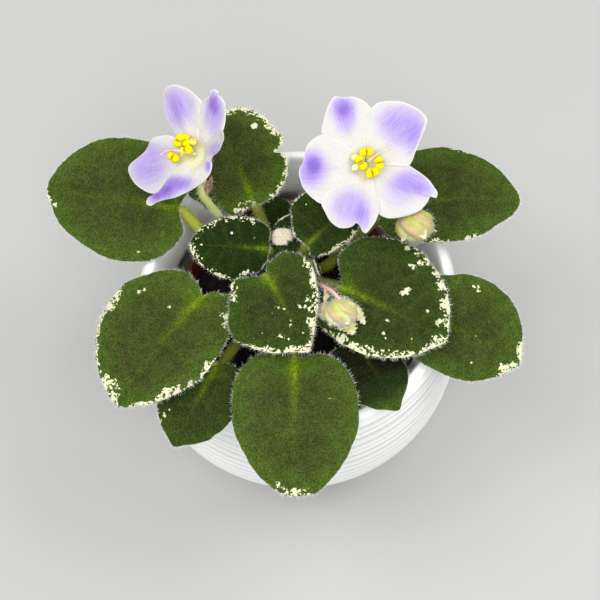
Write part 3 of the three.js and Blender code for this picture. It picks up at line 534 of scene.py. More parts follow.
def smooth_line(points, steps, closed=False):
    """Places on a smooth line through the points, and for each how far along the list of points it is."""
    count = len(points)
    spans = count if closed else count - 1

    def at(i):
        return Vector(points[i % count] if closed else points[max(0, min(count - 1, i))])

    line = []
    for step in range(steps + (0 if closed else 1)):
        share = spans * step / steps
        i = min(int(share), spans - 1)
        t = share - i
        a, b, c, d = (at(i + k) for k in (-1, 0, 1, 2))
        reach = (c - b).length
        before = (c - a) * (reach / max(1e-6, (b - a).length + reach))
        after = (d - b) * (reach / max(1e-6, (d - c).length + reach))
        line.append(((2 * t**3 - 3 * t**2 + 1) * b + (t**3 - 2 * t**2 + t) * before
                     + (3 * t**2 - 2 * t**3) * c + (t**3 - t**2) * after, share))
    return line


def grow(bm, rim):
    """Extrudes a rim of edges. Returns the new points and the new rim."""
    grown = bmesh.ops.extrude_edge_only(bm, edges=rim)["geom"]
    verts = [part for part in grown if isinstance(part, bmesh.types.BMVert)]
    return verts, [part for part in grown if isinstance(part, bmesh.types.BMEdge) and part.is_boundary]


def open_edges(verts):
    """The open edges at some points, in the same order each time."""
    return list(dict.fromkeys(edge for vert in verts for edge in vert.link_edges if edge.is_boundary))


def disc(bm, spokes, rings):
    """A flat round net of unit radius: a fan in the middle with rings of faces round it."""
    made = bmesh.ops.create_circle(bm, cap_ends=True, cap_tris=True, segments=spokes, radius=rings[0])
    verts = list(made["verts"])
    rim = open_edges(verts)
    for inner, outer in zip(rings, rings[1:]):
        new, rim = grow(bm, rim)
        bmesh.ops.scale(bm, vec=(outer / inner,) * 3, verts=new)
        verts += new
    return verts


def new_net():
    """An empty net whose points carry two sets of three values for the materials."""
    bm = bmesh.new()
    for name in ("marks", "place"):
        bm.verts.layers.float_vector.new(name)
    return bm


def values_of(bm):
    """The two layers of values of a net: marks and place."""
    return [bm.verts.layers.float_vector[name] for name in ("marks", "place")]


def sheet(bm, place, spokes, rings, half):
    """A thin closed sheet with a rounded rim: two faces, joined where they meet.

    place gives, for ring and angle, the point, the way that the sheet faces and its two sets of values.
    """
    marks, where = values_of(bm)
    rims = []
    for side in (1, -1):
        for vert in disc(bm, spokes, rings):
            ring = min(1.0, math.hypot(vert.co.x, vert.co.y))
            angle = math.atan2(vert.co.x, vert.co.y)
            point, out, mark, spot = place(ring, angle)
            vert.co = point + out * (side * half * math.sqrt(max(0.0, 1 - ring**10)))
            vert[marks] = mark
            vert[where] = (spot[0], spot[1], side * spot[2])
            if ring > 0.9999:
                rims.append(vert)
    bmesh.ops.remove_doubles(bm, verts=rims, dist=1e-4)


def tube(bm, points, radii, sides, steps, slot=0, mark=(0, 0, 0)):
    """A closed round stalk through the points, with a radius at each of them. Returns its middle line."""
    marks, where = values_of(bm)
    line = smooth_line(points, steps)
    way = (line[1][0] - line[0][0]).normalized()
    turn = way.to_track_quat("Z", "Y")
    rim, last, verts, spine = None, None, [], []
    for i, (point, share) in enumerate(line):
        ahead = (line[min(i + 1, steps)][0] - line[max(i - 1, 0)][0]).normalized()
        turn = way.rotation_difference(ahead) @ turn
        way = ahead
        low = min(int(share), len(radii) - 2)
        radius = radii[low] + (radii[low + 1] - radii[low]) * (share - low)
        here = Matrix.Translation(point) @ turn.to_matrix().to_4x4() @ Matrix.Scale(radius, 4)
        if rim is None:
            new = bmesh.ops.create_circle(bm, cap_ends=True, segments=sides, radius=1, matrix=here)["verts"]
            rim = open_edges(new)
        else:
            new, rim = grow(bm, rim)
            bmesh.ops.transform(bm, matrix=here @ last.inverted(), verts=new)
        last = here
        verts += new
        spine.append((point.copy(), ahead.copy(), radius))
        for j, vert in enumerate(new):
            vert[marks] = mark
            vert[where] = (i / steps, j / sides, 0)
    bmesh.ops.edgeloop_fill(bm, edges=rim)
    for face in {face for vert in verts for face in vert.link_faces}:
        face.material_index = slot
    return spine


def add_piece(name, bm, materials, stands_for=()):
    """Makes a piece of a net in millimetres. It rides on the one body and stands for its solids."""
    bmesh.ops.recalc_face_normals(bm, faces=bm.faces)
    bmesh.ops.scale(bm, vec=(MM, MM, MM), verts=bm.verts)
    mesh = bpy.data.meshes.new(name)
    bm.to_mesh(mesh)
    bm.free()
    mesh.shade_smooth()
    for item in materials:
        mesh.materials.append(item)
    piece = bpy.data.objects.new(name, mesh)
    bpy.context.collection.objects.link(piece)
    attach(piece, "root")
    if stands_for:
        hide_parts(*stands_for)
    return piece


def in_batches(bm, items, size, add):
    """Adds many small shapes to a net by way of small nets, which are quicker to grow."""
    scrap = bpy.data.meshes.new("batch")
    for start in range(0, len(items), size):
        batch = bmesh.new()
        for item in items[start:start + size]:
            add(batch, item)
        batch.to_mesh(scrap)
        batch.free()
        bm.from_mesh(scrap)
    bpy.data.meshes.remove(scrap)
    return bm


def add_hair(bm, hair):
    """A fine three-sided hair, given as root, direction, length and radius."""
    root, way, length, radius = hair
    turn = way.to_track_quat("Z", "Y").to_matrix().to_4x4()
    middle = Matrix.Translation(root + way.normalized() * (0.5 * length))
    bmesh.ops.create_cone(bm, cap_ends=True, cap_tris=True, segments=3, radius1=radius, radius2=0.25 * radius,
                          depth=length, matrix=middle @ turn)


def hair_net(hairs):
    return in_batches(bmesh.new(), hairs, HAIRS_IN_A_BATCH, add_hair)


def any_way(dice):
    return Vector([dice.uniform(-1, 1) for _ in range(3)])


def any_angle(dice):
    return dice.uniform(-math.pi, math.pi)


def scatter_direction(dice, way, spread):
    """A direction near way, pushed aside at random."""
    return (way.normalized() + spread * any_way(dice)).normalized()


def tube_hairs(dice, spine, count, length, skip=0.0):
    """Hairs that stand out of a stalk all round."""
    hairs = []
    for _ in range(count):
        point, ahead, thick = spine[int(dice.uniform(skip, 0.999) * (len(spine) - 1))]
        out = ahead.cross(any_way(dice)).normalized()
        slide = ahead * dice.uniform(-0.8, 0.8)
        hairs.append((point + slide + out * (0.9 * thick), scatter_direction(dice, out, 0.3),
                      length * dice.uniform(0.5, 1.2), HAIR_RADIUS))
    return hairs


def rim_hairs(dice, place, count, inner, way, spread, shortest, longest=None):
    """Hairs on the outer part of a sheet. Without longest they are all alike."""
    hairs = []
    for _ in range(count):
        point = place(dice.uniform(inner, 1), any_angle(dice))[0]
        away = scatter_direction(dice, way, spread)
        hairs.append((point, away, dice.uniform(shortest, longest) if longest else shortest, HAIR_RADIUS))
    return hairs


# Materials


class Paint:
    """A material with its shader, and short calls that add nodes to it."""

    def __init__(self, name, **values):
        self.material = bpy.data.materials.new(name)
        self.material.use_nodes = True
        self.tree = self.material.node_tree
        self.shader = self.tree.nodes["Principled BSDF"]
        for key, value in values.items():
            self.shader.inputs[key.replace("_", " ")].default_value = value
        self.coordinates = self.tree.nodes.new("ShaderNodeTexCoord").outputs["Object"]

    def node(self, kind, inputs=(), **values):
        """Adds a node. Inputs are sockets to link from, or plain values."""
        made = self.tree.nodes.new(kind)
        for key, value in values.items():
            setattr(made, key, value)
        for key, value in dict(inputs).items():
            if isinstance(value, bpy.types.NodeSocket):
                self.tree.links.new(value, made.inputs[key])
            else:
                made.inputs[key].default_value = value
        return made

    def noise(self, scale, detail=3.0, roughness=0.5, vector=None, output=0):
        inputs = {"Vector": vector or self.coordinates, "Scale": scale}
        inputs |= {"Detail": detail, "Roughness": roughness}
        return self.node("ShaderNodeTexNoise", inputs).outputs[output]

    def cells(self, scale, vector=None):
        """How far a place is from its cell's middle, and a random value for each cell."""
        made = self.node("ShaderNodeTexVoronoi", {"Vector": vector or self.coordinates, "Scale": scale})
        split = self.node("ShaderNodeSeparateColor", {0: made.outputs["Color"]})
        return made.outputs["Distance"], split.outputs[0]

    def values(self, name):
        """The three values that a piece's points carry under a name."""
        read = self.node("ShaderNodeAttribute", attribute_name=name)
        split = self.node("ShaderNodeSeparateXYZ", {0: read.outputs["Vector"]})
        return split.outputs

    def math(self, operation, a, b=0.0):
        return self.node("ShaderNodeMath", {0: a, 1: b}, operation=operation).outputs[0]

    def vector(self, operation, a, b):
        return self.node("ShaderNodeVectorMath", {0: a, 1: b}, operation=operation).outputs[0]

    def span(self, value, low, high, to_low=0.0, to_high=1.0):
        """Stretches a range of values to another, and holds it at both ends."""
        inputs = {"Value": value, "From Min": low, "From Max": high, "To Min": to_low, "To Max": to_high}
        return self.node("ShaderNodeMapRange", inputs).outputs[0]

    def ramp(self, value, stops):
        made = self.node("ShaderNodeValToRGB", {0: value})
        elements = made.color_ramp.elements
        while len(elements) < len(stops):
            elements.new(0.5)
        for element, (position, colour) in zip(elements, stops):
            element.position = position
            element.color = (*colour, 1)
        return made.outputs[0]

    def mix(self, factor, a, b):
        made = self.node("ShaderNodeMix", data_type="RGBA")
        for socket, value in zip((made.inputs[0], made.inputs[6], made.inputs[7]), (factor, a, b)):
            if isinstance(value, bpy.types.NodeSocket):
                self.tree.links.new(value, socket)
            else:
                socket.default_value = value if isinstance(value, float) else (*value, 1)
        return made.outputs[2]

    def shade(self, colour, factor):
        """Multiplies a colour by another."""
        made = self.node("ShaderNodeMix", data_type="RGBA", blend_type="MULTIPLY")
        made.inputs[0].default_value = 1.0
        self.tree.links.new(colour, made.inputs[6])
        self.tree.links.new(factor, made.inputs[7])
        return made.outputs[2]

    def mottle(self, colour, value, *stops):
        """Darkens and lightens a colour along a value: each stop is a position with a grey or a tint."""
        tints = [(position, tint if isinstance(tint, tuple) else (tint,) * 3) for position, tint in stops]
        return self.shade(colour, self.ramp(value, tints))

    def finish(self, colour=None, roughness=None, height=None, distance=0.0002, strength=1.0):
        if colour is not None:
            self.tree.links.new(colour, self.shader.inputs["Base Color"])
        if roughness is not None:
            self.tree.links.new(roughness, self.shader.inputs["Roughness"])
        if height is not None:
            bump = self.node("ShaderNodeBump", {"Height": height, "Distance": distance, "Strength": strength})
            self.tree.links.new(bump.outputs[0], self.shader.inputs["Normal"])
        return self.material


def leaf_paint(name):
    """Velvety green with a yellow-green midrib, a brighter margin and cream flecks near it; shade, relief light
    and hair glints are painted in.
    """
    p = Paint(name, Roughness=0.8, Specular_IOR_Level=0.12)
    cream, rib, tone_and_shade = p.values("marks")
    ring = p.values("place")[2]
    edge = p.math("ABSOLUTE", ring)
    cells, _ = p.cells(1600)
    grain = p.noise(1650, 3, 0.65)
    cloud = p.noise(110, 3)
    green = p.mix(p.span(cloud, 0.3, 0.7), LEAF_DULL, LEAF_FRESH)
    green = p.mix(p.span(edge, 0.55, 1.0), green, LEAF_NEAR_MARGIN)
    # painted shade: the third mark darkens the green, in part a darker leaf and in part shade, and above 1 deep
    # shade
    green = p.mix(tone_and_shade, green, LEAF_DARKER_AND_SHADED)
    green = p.mix(p.span(tone_and_shade, 1.0, 2.0), green, LEAF_PAINTED_DEEP_SHADE)
    glow = p.math("MULTIPLY", rib, p.span(p.noise(320, 3), 0.35, 0.65, 0.55, 1.0))
    green = p.mix(glow, green, LEAF_RIB)
    green = p.mix(p.span(rib, 1.0, 1.7), green, LEAF_RIB_BASE)
    # painted relief light: cell middles lit a little bluish, cell borders painted in shade
    green = p.mottle(green, cells, (0.0, (1.18, 1.16, 1.2)), (0.4, 1.03), (0.75, 0.7))
    # painted shade in soft blotches, standing in for the quilted relief
    green = p.mottle(green, p.noise(330, 2, 0.5), (0.36, 0.86), (0.62, 1.12))
    # fine grain whose light, greyish blue specks are painted glints of the hairs
    green = p.mottle(green, grain, (0.33, 0.62), (0.67, (1.36, 1.34, 1.48)))
    green = p.mix(p.span(edge, 0.98, 1.0, 0.0, 0.4), green, LEAF_FUZZY_MARGIN)
    warp = p.vector("MULTIPLY", p.noise(900, 2, output=1), (0.0012,) * 3)
    flecks = p.cells(1750, p.vector("ADD", p.coordinates, warp))[1]
    patches = p.span(p.noise(300, 3), 0.32, 0.68, -0.48, 0.36)
    tatter = p.math("ADD", p.span(flecks, 0.0, 1.0, -0.42, 0.42), patches)
    ragged = p.math("ADD", cream, p.math("MULTIPLY", tatter, p.span(cream, 0.0, 0.2)))
    blush = p.math("MULTIPLY", p.span(p.noise(140, 2), 0.48, 0.62), p.span(edge, 0.86, 0.97))
    creamy = p.mix(blush, CREAM, CREAM_BLUSHED)
    creamy = p.mix(p.span(cream, 1.5, 2.2), creamy, CREAM_YOUNG)
    creamy = p.mottle(creamy, grain, (0.3, 0.88), (0.7, 1.05))
    colour = p.mix(p.span(ragged, 0.55, 0.60), green, creamy)
    colour = p.mix(p.span(ring, -0.02, 0.0, 1.0, 0.0), colour, LEAF_UNDERSIDE)
    height = p.math("SUBTRACT", p.math("MULTIPLY", grain, 0.6), cells)
    return p.finish(colour, height=height, distance=0.0005, strength=0.8)


def stem_paint(name, light, dark, blush):
    """Juicy stalk: mottled green with a fine grain."""
    p = Paint(name, Roughness=0.55, Specular_IOR_Level=0.35)
    cloud = p.noise(180, 3)
    colour = p.mix(p.span(cloud, 0.3, 0.7), dark, light)
    colour = p.mix(p.values("marks")[0], colour, PETIOLE_SUNLIT)
    colour = p.mix(p.span(p.noise(75, 2), 0.58, 0.75, 0.0, 0.35), colour, blush)
    height = p.noise(1400, 3, 0.6)
    colour = p.mottle(colour, height, (0.3, 0.85), (0.7, 1.12))
    return p.finish(colour, height=height, distance=0.0002, strength=0.5)


def petal_paint(name):
    """White petal with lavender patches, a greenish throat and fine sparkling cells."""
    p = Paint(name, Roughness=0.65, Specular_IOR_Level=0.3, Subsurface_Weight=0.12, Subsurface_Scale=0.0006)
    lavender, throat, _ = p.values("marks")
    along, aside, ring = p.values("place")
    cells = p.noise(1800, 2, 0.6)
    lines = p.node("ShaderNodeCombineXYZ", {0: p.math("MULTIPLY", along, 0.12), 1: aside}).outputs[0]
    streaks = p.span(p.noise(1.3, 3, 0.6, lines), 0.3, 0.7, -0.08, 0.08)
    wash = p.math("ADD", lavender, p.math("MULTIPLY", streaks, p.span(lavender, 0.05, 0.4)))
    wash = p.math("MULTIPLY", wash, 0.8)
    colour = p.mix(p.span(ring, 0.93, 1.0, 0.0, 0.8), p.ramp(wash, PETAL_WASH), PETAL_RIM)
    colour = p.mix(throat, colour, PETAL_THROAT)
    colour = p.mix(p.span(ring, -0.02, 0.0, 0.75, 0.0), colour, PETAL_BACK)
    colour = p.mottle(colour, cells, (0.3, (0.95, 0.95, 0.96)), (0.7, 1.04))
    folds = p.noise(0.9, 3, 0.55, lines)
    height = p.math("ADD", p.math("MULTIPLY", cells, 0.15), p.math("ADD", folds, p.noise(420, 3)))
    return p.finish(colour, height=height, distance=0.0005, strength=0.6)


def anther_paint(name):
    """Bright yellow pollen sacs with orange-brown slits."""
    p = Paint(name, Roughness=0.7, Specular_IOR_Level=0.1)
    slit, faded, _ = p.values("marks")
    grain = p.noise(2600, 2)
    colour = p.mix(p.span(grain, 0.3, 0.7), POLLEN_DEEP, POLLEN_BRIGHT)
    colour = p.mix(faded, colour, POLLEN_FADED)
    colour = p.mix(slit, colour, POLLEN_SLIT)
    return p.finish(colour, height=grain, distance=0.0001, strength=0.5)


def style_paint(name):
    """Thin pinkish pistil."""
    p = Paint(name, Roughness=0.5)
    colour = p.mix(p.span(p.noise(700, 2), 0.3, 0.7), PISTIL_DARK, PISTIL_LIGHT)
    return p.finish(colour, height=p.noise(2000, 2), distance=0.0001, strength=0.3)


def bud_paint(name):
    """Sepals and bud: yellow-green ribs, pinkish edges and whitish hairy skin between."""
    p = Paint(name, Roughness=0.7, Sheen_Weight=0.08)
    pale, pink, brown = p.values("marks")
    cloud = p.noise(420, 3)
    colour = p.mix(p.span(cloud, 0.35, 0.65), SEPAL_DARK, SEPAL_LIGHT)
    colour = p.mix(pale, colour, SEPAL_PALE)
    colour = p.mix(p.math("MULTIPLY", pink, p.span(cloud, 0.35, 0.6, 0.6, 1.0)), colour, SEPAL_PINK)
    colour = p.mix(p.math("MULTIPLY", brown, 0.9), colour, SEPAL_DRY)
    height = p.noise(1500, 3, 0.6)
    return p.finish(colour, height=height, distance=0.0002, strength=0.5)


def hair_paint(name, colour):
    """Fine hairs, a little uneven in tint."""
    p = Paint(name, Roughness=0.5, Sheen_Weight=0.3)
    tint = p.mix(p.span(p.noise(300, 2), 0.3, 0.7), tuple(0.85 * part for part in colour), colour)
    return p.finish(tint)


def soil_paint(name):
    """Moist peat mix: near black, with brown fibres."""
    p = Paint(name, Roughness=0.9, Specular_IOR_Level=0.3)
    grit = p.noise(700, 5, 0.7)
    return p.finish(p.ramp(grit, PEAT), height=grit, distance=0.0012, strength=1.0)


def ceramic_paint(name):
    """White satin glaze with fine turned lines, and painted shade that greys the coves between the ribs."""
    p = Paint(name, Specular_IOR_Level=0.45)
    cove = p.values("marks")[0]
    cloud = p.noise(35, 4)
    colour = p.mix(p.span(cloud, 0.3, 0.7), GLAZE_COOL, GLAZE_WARM)
    # painted shade in the coves between the ribs
    colour = p.mix(p.math("MULTIPLY", cove, 0.7), colour, GLAZE_PAINTED_COVE_SHADE)
    split = p.node("ShaderNodeSeparateXYZ", {0: p.coordinates}).outputs
    turned = p.noise(2600, 2, 0.5, p.node("ShaderNodeCombineXYZ", {2: split[2]}).outputs[0])
    colour = p.mottle(colour, turned, (0.35, 0.955), (0.65, 1.0))
    height = p.math("ADD", p.math("MULTIPLY", turned, 0.7), p.math("MULTIPLY", p.noise(1300, 3), 0.3))
    roughness = p.span(p.noise(60, 3), 0.3, 0.7, 0.38, 0.5)
    return p.finish(colour, roughness, height, distance=0.0002, strength=0.3)


def plastic_paint(name):
    """Dull red-brown nursery pot plastic, scuffed and a little dusty."""
    p = Paint(name, Specular_IOR_Level=0.4)
    scuff = p.noise(120, 5, 0.6)
    colour = p.mix(p.span(scuff, 0.45, 0.75), PLASTIC, PLASTIC_SCUFFED)
    roughness = p.span(scuff, 0.3, 0.7, 0.42, 0.62)
    return p.finish(colour, roughness, p.noise(900, 3), distance=0.0001, strength=0.4)


# Leaves


class Blade:
    """The surface of a leaf blade, and the values that its material reads."""

    def __init__(self, leaf, seed):
        self.leaf = leaf = {**LEAF_DEFAULTS, **leaf}
        self.seed = seed
        self.base = Vector(leaf["base"])
        self.along = Vector(leaf["tip"]) - self.base
        self.length = self.along.length
        self.along.normalize()
        up = (Z - self.along * self.along.z).normalized()
        turn = math.radians(leaf["roll"])
        self.normal = up * math.cos(turn) + self.along.cross(up) * math.sin(turn)
        self.across = self.along.cross(self.normal)
        self.middle = BLADE_CENTRE * self.length
        self.half = sum(leaf["half"]) / 2
        self.size = self.half / TYPICAL_HALF_WIDTH

    def outline(self, angle):
        """Where the margin is, from the blade's middle."""
        leaf = self.leaf
        side, ahead = math.sin(angle), math.cos(angle)
        half = leaf["half"][1] if side > 0 else leaf["half"][0]
        from_base = (math.pi - abs(angle)) / NOTCH_WIDTH
        if ahead > 0:
            apex = leaf["apex"] * math.exp(-((angle / APEX_WIDTH) ** 2))
            reach = (self.length - self.middle - leaf["apex"]) * ahead ** leaf["point"] + apex
        else:
            reach = -(self.middle + leaf["lobe"]) * (-ahead) ** BLADE_SQUARE
        x, y = half * side * (1 - leaf["full"] * ahead), reach + leaf["lobe"] * math.exp(-(from_base**2))
        push = 0.0
        for where, amount, width in leaf["bulges"]:
            off = (math.degrees(angle) - where + 180) % 360 - 180
            push += amount * math.exp(-((off / width) ** 2))
        scale = 1 + push / max(1.0, math.hypot(x, y))
        return x * scale, y * scale

    def vein(self, x, y):
        """How close a place is to a side vein: 0 on it, 1 midway between two."""
        q = (y + 0.35 * abs(x)) / (1 + 1.5 * abs(x) / self.length)
        shift = 0.5 if x > 0 else 0.2
        return abs(math.sin(math.pi * (SIDE_VEINS * q / self.length + shift)))

    def rise(self, x, y, ring):
        """How far the blade stands above its own plane."""
        part, scale = y / self.length, x / self.half
        arch = BLADE_ARCH * self.length * part * (1 - part) if part > 0 else 0
        hang = BLADE_HANG * self.half * abs(scale) ** 2.2
        groove = BLADE_GROOVE * self.half * math.exp(-((scale / 0.16) ** 2))
        quilt = 0.6 * (self.vein(x, y) ** 0.6 - 0.6) * (1 - ring**6) * min(1, abs(x) / 3)
        lumps = 0.25 * noise.noise((0.22 * x, 0.22 * y, self.seed))
        return arch - hang - groove + (quilt + lumps) * self.size

    def point(self, ring, angle):
        """Where a place of the net lies in space, and how far it is across and along the blade."""
        x, y = self.outline(angle)
        turn = Vector((math.cos(angle), math.sin(angle), self.seed))
        wobble = 1 + ring * (0.012 * noise.noise(7 * turn) + 0.014 * noise.noise(17 * turn))
        x, y = x * ring * wobble, self.middle + y * ring * wobble
        wave = 0.3 * ring**3 * math.sin(5 * angle)
        height = self.rise(x, y, ring) + wave * self.size
        return self.base + self.across * x + self.along * y + self.normal * height, x, y

    def cream(self, ring, angle, x, y):
        """How strongly a place is cream, by the arcs of the margin and the specks."""
        rim_x, rim_y = self.outline(angle)
        inward = (1 - ring) * math.hypot(rim_x, rim_y)
        degrees = math.degrees(angle)
        amount = 0.0
        for start, end, depth, *full in self.leaf["cream"]:
            within = min(1, max(0, min(degrees - start, end - degrees) / 5 + 0.5))
            amount = max(amount, within * ((full[0] if full else 1.0) - inward / depth))
        for spot_x, spot_y, radius in self.leaf["specks"]:
            amount = max(amount, 1.25 - math.hypot(x - spot_x, y - spot_y) / max(0.3, radius - 0.15))
        return max(0.0, amount)

    def place(self, ring, angle):
        """A point of the blade with what its material reads: cream, rib and tone with painted shade, and where
        it is.
        """
        point, x, y = self.point(ring, angle)
        part = y / self.length
        tone_and_shade = self.leaf["tone_and_shade"]
        wide = 0.095 * self.half * max(0.3, 1 - 0.7 * part)
        # the midrib, which narrows and fades towards the tip, and the fine line along all of it
        rib = math.exp(-((x / wide) ** 2)) * max(0.0, min(1.0, 1.15 - 1.9 * part))
        rib = max(rib, 0.4 * math.exp(-((x / (0.03 * self.half)) ** 2)) * max(0.0, 1.1 - part))
        # the patch where it leaves the petiole, and the faint side veins, all dimmed where deep shade is
        # painted
        rib = max(rib, 0.7 * math.exp(-((math.hypot(x, y - 0.04 * self.length) / (0.2 * self.half)) ** 2)))
        rib = max(rib, 0.16 * (1 - self.vein(x, y)) ** 3) * (1 - 0.7 * max(0.0, tone_and_shade - 1))
        # the bright core near the base
        rib += 0.6 * math.exp(-((x / (0.07 * self.half)) ** 2) - (part / 0.22) ** 2)
        # painted shade: the darkening changes along the blade to its value for the outer half
        tone_and_shade += (self.leaf.get("tone_and_shade_tip", tone_and_shade) - tone_and_shade) * max(0.0, min(1.0, 2.2 * part - 1))
        return point, self.normal, (self.cream(ring, angle, x, y), rib, tone_and_shade), (x, y, max(0.001, ring))

    def under(self, part, drop):
        """A place below the midrib, a part of the way to the tip."""
        along = part * self.length
        return self.base + self.along * along + self.normal * (self.rise(0, along, 0) - drop)


def root_point(angle, z):
    """Where a stalk starts, just clear of the crown."""
    turn = math.radians(angle)
    reach = CROWN_RADIUS + ROOT_GAP
    return Vector((CROWN_FOOT[0] + reach * math.cos(turn), CROWN_FOOT[1] + reach * math.sin(turn), z))


def out_of(root, reach):
    """A little way straight out of the crown, and then further out and up."""
    out = Vector((root.x - CROWN_FOOT[0], root.y - CROWN_FOOT[1], 0)).normalized()
    return [root + out * (0.7 * reach), root + out * (1.6 * reach) + Z * reach]


def petiole_line(blade, thick):
    """The places that a petiole passes and its radius at each: from the crown and on under the blade."""
    root = root_point(*blade.leaf["root"])
    stem = [root, *out_of(root, thick), *map(Vector, blade.leaf["through"])]
    join = blade.under(0, thick)
    before = join + (stem[-1] - join).normalized() * (2 * thick)
    points = [*stem, before, join, blade.under(0.2, 0.55 * thick), blade.under(0.42, 0.15 * thick)]
    radii = [0.85 * thick] + [thick] * (len(points) - 4) + [0.9 * thick, 0.5 * thick, 0.28 * thick]
    return points, radii


def build_leaf(name, leaf, paints, settings, thick, net, seed):
    """One leaf: its blade with petiole as one piece, its hairs and the down on its face as two more."""
    dice = random.Random(seed)
    blade = Blade(leaf, seed)
    bm = new_net()
    spokes, ring_count = net
    rings = [1 - (1 - (i + 1) / ring_count) ** 1.25 for i in range(ring_count)]
    sheet(bm, blade.place, spokes, rings, settings.thickness / MM / 2)
    if "below" in leaf:
        sheet(bm, Blade(leaf["below"], seed).place, spokes, rings, settings.thickness / MM / 2)
    points, radii = petiole_line(blade, thick)
    sunlit = (blade.leaf["bright"], 0, 0)
    spine = tube(bm, points, radii, PETIOLE_SIDES, PETIOLE_STEPS, slot=1, mark=sunlit)
    add_piece(name, bm, [paints["leaf"], paints["petiole"]], [name])

    hairs, down = [], []
    length = settings.hair_length / MM * (0.6 + 0.4 * blade.size)
    for _ in range(int(settings.margin_hairs * blade.size)):
        angle = any_angle(dice)
        point = blade.point(dice.uniform(0.975, 1.0), angle)[0]
        out = (point - blade.point(0.6, angle)[0]).normalized()
        way = scatter_direction(dice, out + blade.normal * dice.uniform(-0.2, 0.5), 0.35)
        hairs.append((point, way, length * dice.uniform(0.5, 1.4), MARGIN_HAIR_RADIUS))
    for _ in range(int(settings.surface_hairs * blade.size**2)):
        angle = any_angle(dice)
        point = blade.point(math.sqrt(dice.uniform(0, 0.97)), angle)[0]
        way = scatter_direction(dice, blade.normal, 0.55)
        down.append((point + blade.normal * 0.3, way, length * dice.uniform(0.4, 0.8), DOWN_RADIUS))
    hairs += tube_hairs(dice, spine, int(settings.petiole_hairs * thick), length)
    add_piece(f"{name}_hairs", hair_net(hairs), [paints["hair"]])
    add_piece(f"{name}_down", hair_net(down), [paints["down"]])


# Flowers and buds


def facing_axes(direction):
    """Right, up and out for a thing that faces a direction."""
    out = Vector(direction).normalized()
    right = (Vector((1, 0, 0)) - out * out.x).normalized()
    return right, out.cross(right), out


def seat(origin, axes):
    """The matrix that moves a thing that faces +Z so that it faces out of a point."""
    turn = Matrix([[axis[i] for axis in axes] for i in range(3)]).to_4x4()
    return Matrix.Translation(Vector(origin)) @ turn


def petal_place(petal, matrix, seed):
    """The surface of one petal: its outline is drawn in towards the middle ring by ring."""
    line = [Vector((x, y, 0)) for x, y in petal["outline"]]
    loop = [point for point, _ in smooth_line(line, PETAL_STEPS, closed=True)]
    centre = sum(loop, Vector()) / len(loop)
    way = math.radians(petal["way"])
    ahead = Vector((math.cos(way), math.sin(way), 0))
    out = matrix.to_3x3() @ Z

    def place(ring, angle):
        share = (angle / (2 * math.pi)) % 1 * PETAL_STEPS
        low = int(share) % PETAL_STEPS
        rim = loop[low].lerp(loop[(low + 1) % PETAL_STEPS], share - int(share))
        flat = centre + (rim - centre) * ring
        along = max(0.0, flat.dot(ahead))
        aside = flat.cross(ahead).z
        far = along / petal["length"]
        ruffle = 0.72 * ring**4 * noise.noise((1.6 * math.cos(angle) + seed, 1.6 * math.sin(angle), 5))
        ridge = 0.42 * math.cos(2.3 * aside / (1 + 0.12 * along)) * far * (1 - ring**3)
        inside = 1 / (1 + math.exp((flat.length - THROAT_REACH) / 0.4))
        lift = 0.6 * petal["lift"] * min(1.0, flat.length / 6)
        height = petal["bend"] * far**2 + lift + ruffle + ridge - THROAT_DEPTH * inside
        lavender = 0.0
        for x, y, wide, tall, strength, clear in petal["patches"]:
            near = math.exp(-(((flat.x - x) / wide) ** 2) - ((flat.y - y) / tall) ** 2)
            near *= 2.1 - 1.1 * near
            keep = 1 if clear == 0 else min(1.0, (1 - ring) / clear)
            lavender += strength * near * keep
        throat = 0.75 * inside + 0.2 * math.exp(-((flat.length / 6) ** 2))
        point = matrix @ Vector((flat.x, flat.y, height))
        return point, out, (min(1.2, lavender), throat, 0), (along, aside, max(0.001, ring))

    return place


def spun(bm, profile, steps, matrix=None):
    """A surface turned about Z, in an empty net, from a line of (radius, height) places."""
    verts = [bm.verts.new((radius, 0, height)) for radius, height in profile]
    edges = [bm.edges.new(pair) for pair in zip(verts, verts[1:])]
    bmesh.ops.spin(bm, geom=verts + edges, axis=(0, 0, 1), cent=(0, 0, 0), steps=steps, angle=2 * math.pi,
                   use_merge=True)
    bmesh.ops.remove_doubles(bm, verts=[vert for vert in bm.verts if vert.link_faces], dist=1e-4)
    verts = list(bm.verts)
    if matrix is not None:
        bmesh.ops.transform(bm, matrix=matrix, verts=verts)
    return verts


def build_corolla(name, flower, paints, settings):
    """The five petals and the short tube behind them, as one piece."""
    matrix = seat(flower["throat"], facing_axes(flower["facing"]))
    bm = new_net()
    marks, _ = values_of(bm)
    for vert in spun(bm, [(0, THROAT[0][1]), *THROAT, (0, THROAT[-1][1])], 40, matrix):
        vert[marks] = (0, 0.95, 0)
    for i, petal in enumerate(flower["petals"]):
        place = petal_place(petal, matrix, 3.7 * i)
        sheet(bm, place, PETAL_STEPS, PETAL_RINGS, settings.petal_thickness / MM / 2)
    add_piece(f"{name}_corolla", bm, [paints["petal"]], [f"{name}_corolla"])


def anther_lobe(bm, seat_of_flower, spot, turn, faded=0.0):
    """One lumpy pollen sac with an orange slit towards its partner, which lies along its +X."""
    marks, _ = values_of(bm)
    made = bmesh.ops.create_uvsphere(bm, u_segments=16, v_segments=10, radius=1)["verts"]
    here = seat_of_flower @ Matrix.Translation(spot) @ Matrix.Rotation(turn, 4, "Z")
    for vert in made:
        x, y, z = vert.co
        seam = (1 - faded) * math.exp(-((x - 0.76) ** 2 + (z - 0.62) ** 2 + 0.2 * y * y) / 0.08)
        vert[marks] = (min(1, seam), faded, 0)
        lump = (1 - 0.15 * faded) * (1 + 0.3 * noise.noise(1.7 * vert.co + spot))
        vert.co = here @ (lump * Vector((1.2 * x, 1.4 * y * (1 + 0.1 * x), 1.15 * z)))


